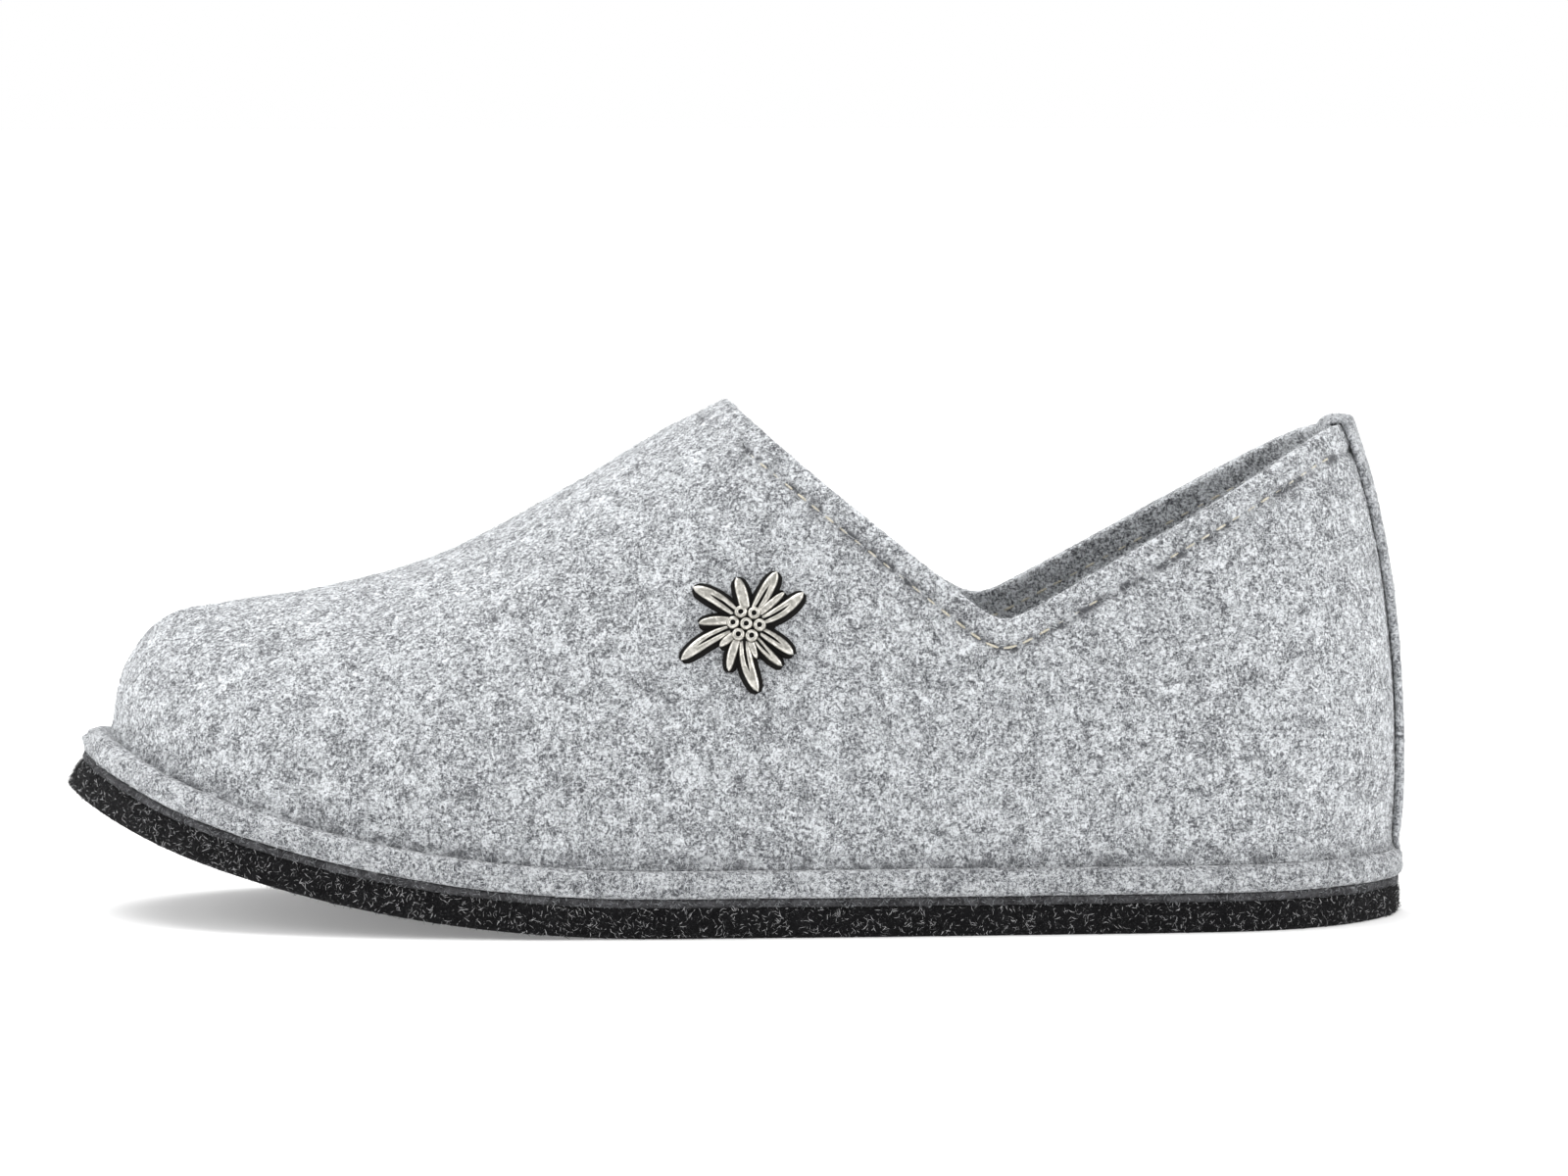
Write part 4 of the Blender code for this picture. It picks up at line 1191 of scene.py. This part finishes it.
class Relief:
    """Collects shells of the cast ornament with a patina value at each point."""

    def __init__(self, on_wall):
        self.on_wall = on_wall
        self.points, self.patina, self.faces = [], [], []

    def add(self, right, up, height, patina):
        self.points.append(self.on_wall(right, up, height))
        self.patina.append(min(1.0, max(0.0, patina)))
        return len(self.points) - 1

    def petal(self, angle, reach, width, curl, groove, lift, backing=False):
        along = Vector((math.cos(math.radians(angle)), math.sin(math.radians(angle))))
        across = Vector((-along.y, along.x))
        length = reach * ORNAMENT_SPAN
        rows = []
        under = []
        for row in range(PETAL_ROWS):
            share = 0.14 + 0.86 * row / (PETAL_ROWS - 1)
            centre = along * length * share + across * curl * length * share**2
            turn = math.atan(2 * curl * share)
            normal = across * math.cos(turn) - along * math.sin(turn)
            if share < PETAL_WIDEST:
                leaf = 0.40 + 0.60 * math.sin(math.pi / 2 * share / PETAL_WIDEST)
            else:
                past = (share - PETAL_WIDEST) / (1.001 - PETAL_WIDEST)
                leaf = math.sqrt(max(0.0, 1 - past**2.4))
            half = 0.44 * width * ORNAMENT_SPAN * leaf + (0.00065 if backing else 0.0)
            crown = PETAL_HEIGHT * (0.55 + 0.45 * leaf + lift * share**2)
            if backing:
                crown = 0.0005
            line = []
            for column in range(PETAL_COLUMNS):
                v = -1 + 2 * column / (PETAL_COLUMNS - 1)
                round_off = math.sqrt(max(0.0, 1 - abs(v) ** 2.6))
                cut = math.exp(-((v / 0.20) ** 2)) * groove
                cut *= math.sin(math.pi * min(1.0, max(0.0, (share - 0.12) / 0.70)))
                cut = max(0.0, cut)
                height = crown * (0.30 + 0.70 * round_off) * (1 - 0.42 * cut)
                dark = 1.3 * cut + 1.2 * max(0.0, abs(v) - 0.70) / 0.30
                dark += 1.2 * max(0.0, 1 - share / 0.40)
                if backing:
                    dark = 1.0
                place = centre + normal * half * v
                line.append(self.add(place.x, place.y, height, dark))
            rows.append(line)
            edge = []
            for v in (-1, 1):
                place = centre + normal * half * v
                edge.append(self.add(place.x, place.y, -0.0005, 1.0))
            under.append(edge)
        for here, after in zip(rows, rows[1:]):
            for column in range(PETAL_COLUMNS - 1):
                self.faces.append((here[column], here[column + 1], after[column + 1], after[column])[::-1])
        for row in range(PETAL_ROWS - 1):
            here, after = under[row], under[row + 1]
            self.faces.append((rows[row][0], here[0], after[0], rows[row + 1][0])[::-1])
            self.faces.append((here[1], rows[row][-1], rows[row + 1][-1], after[1])[::-1])
            self.faces.append((here[0], here[1], after[1], after[0]))
        for row, flip in ((0, False), (PETAL_ROWS - 1, True)):
            face = [*rows[row], under[row][1], under[row][0]]
            self.faces.append(face[::-1] if flip else face)

    def dome(self, right, up, radius, base, profile, segments=22):
        """Turned button. Profile rows are radius share, height and patina."""
        rings = []
        for share, height, dark in profile:
            line = []
            for step in range(segments):
                turn = 2 * math.pi * step / segments
                line.append(self.add(right + radius * share * math.cos(turn),
                                     up + radius * share * math.sin(turn), base + height, dark))
            rings.append(line)
        for lower, higher in zip(rings, rings[1:]):
            for step in range(segments):
                after = (step + 1) % segments
                self.faces.append((lower[step], lower[after], higher[after], higher[step]))
        self.faces.append(rings[0][::-1])
        self.faces.append(rings[-1])


def build_ornament():
    on_wall = WallFrame(x_of(0) + ORNAMENT_DISTANCE_FROM_TOE, ORNAMENT_HEIGHT - ORNAMENT_DROP)
    relief = Relief(on_wall)
    hub = ((1.0, -0.0015, 1.0), (1.0, -0.0004, 1.0), (0.85, 0.0, 1.0), (0.4, 0.0002, 1.0), (0.1, 0.0002, 1.0))
    relief.dome(0.0, 0.0, HUB_RADIUS, HUB_HEIGHT, hub)
    relief.dome(0.0, 0.0, BACKING_RADIUS, 0.0, ((1.0, -0.0008, 1.0), (1.0, 0.0003, 1.0), (0.3, 0.0006, 1.0)))
    for row in PETALS:
        relief.petal(*row)
        relief.petal(*row, backing=True)
    floret = ((1.0, -0.0010, 1.0), (1.0, 0.0002, 0.8), (0.95, 0.0006, 0.25), (0.80, 0.0009, 0.0),
              (0.62, 0.0010, 0.0), (0.48, 0.00092, 0.15), (0.36, 0.0007, 0.75), (0.22, 0.0006, 1.0),
              (0.08, 0.00065, 1.0))
    places = [(0.0, 0.0)]
    for index in range(FLORETS_AROUND):
        angle = math.radians(FLORET_START + 360 / FLORETS_AROUND * index)
        places.append((FLORET_RING_RADIUS * math.cos(angle), FLORET_RING_RADIUS * math.sin(angle)))
    for right, up in places:
        relief.dome(right, up, FLORET_RADIUS, HUB_HEIGHT, floret)
    ornament = mesh_object("ornament_cast", relief.points, relief.faces, [silver])
    shape = bmesh.new()
    shape.from_mesh(ornament.data)
    bmesh.ops.recalc_face_normals(shape, faces=shape.faces)
    shape.to_mesh(ornament.data)
    shape.free()
    ornament.data.set_sharp_from_angle(angle=math.radians(60))
    patina = ornament.data.attributes.new("patina", "FLOAT", "POINT")
    patina.data.foreach_set("value", np.array(relief.patina, dtype=np.float32))
    return ornament


declare(build_ornament(), "antique_silver", "ornament")


# ---- floor, light and camera ----

FLOOR_HALF = 12.0
FLOOR_GLOW = 0.22


def build_floor():
    n = Nodes("floor_white")
    grain = n.noise(30.0, 2.0, 0.5)
    colour = n.mix(n.spread(grain, 0.3, 0.7), (0.815, 0.815, 0.815), (0.825, 0.825, 0.825))
    material = n.finish(colour, 0.9)
    n.shader.inputs["Emission Color"].default_value = (1.0, 1.0, 1.0, 1.0)
    n.shader.inputs["Emission Strength"].default_value = FLOOR_GLOW
    half = FLOOR_HALF
    points = [(-half, -half, 0), (half, -half, 0), (half, half, 0), (-half, half, 0)]
    floor = mesh_object("floor", points, [(0, 1, 2, 3)], [material], smooth=False)


def area_light(name, place, aim, size, power):
    data = bpy.data.lights.new(name, "AREA")
    data.shape = "RECTANGLE"
    data.size, data.size_y = size
    data.energy = power
    lamp = bpy.data.objects.new(name, data)
    lamp.location = place
    lamp.rotation_mode = "QUATERNION"
    lamp.rotation_quaternion = (Vector(aim) - Vector(place)).to_track_quat("-Z", "Y")
    bpy.context.scene.collection.objects.link(lamp)


def build_light():
    world = bpy.data.worlds.new("studio_white")
    world.use_nodes = True
    background = world.node_tree.nodes["Background"]
    background.inputs["Color"].default_value = (1.0, 1.0, 1.0, 1.0)
    background.inputs["Strength"].default_value = 1.0
    bpy.context.scene.world = world
    area_light("overhead", (-0.45, 0.45, 1.5), (0.0, 0.0, 0.03), (1.4, 1.0), 25.0)
    area_light("left", (-1.5, -0.20, 0.75), (0.0, 0.0, 0.05), (0.9, 0.9), 8.0)
    area_light("right", (1.5, -0.45, 0.75), (0.0, 0.0, 0.05), (0.9, 0.9), 14.0)
    view = bpy.context.scene.view_settings
    view.view_transform = "Standard"
    view.look = "None"
    view.exposure = 0.0
    view.gamma = 1.0


CAMERA_AZIMUTH = 3.0
CAMERA_ELEVATION = 4.5
CAMERA_DISTANCE = 1.400
CAMERA_FOCAL_PIXELS = 7127.0
CAMERA_TARGET = (0.0096, 0.0, 0.0646)
PHOTO_WIDTH = 1600
SENSOR_WIDTH = 36.0


def build_camera():
    azimuth = math.radians(CAMERA_AZIMUTH)
    elevation = math.radians(CAMERA_ELEVATION)
    forward = Vector((math.sin(azimuth) * math.cos(elevation),
                      math.cos(azimuth) * math.cos(elevation), -math.sin(elevation)))
    data = bpy.data.cameras.new("camera")
    data.sensor_width = SENSOR_WIDTH
    data.lens = SENSOR_WIDTH * CAMERA_FOCAL_PIXELS / PHOTO_WIDTH
    data.clip_start, data.clip_end = 0.05, 20.0
    camera = bpy.data.objects.new("camera", data)
    camera.location = Vector(CAMERA_TARGET) - forward * CAMERA_DISTANCE
    camera.rotation_mode = "QUATERNION"
    camera.rotation_quaternion = forward.to_track_quat("-Z", "Y")
    bpy.context.scene.collection.objects.link(camera)
    bpy.context.scene.camera = camera


build_floor()
build_light()
build_camera()
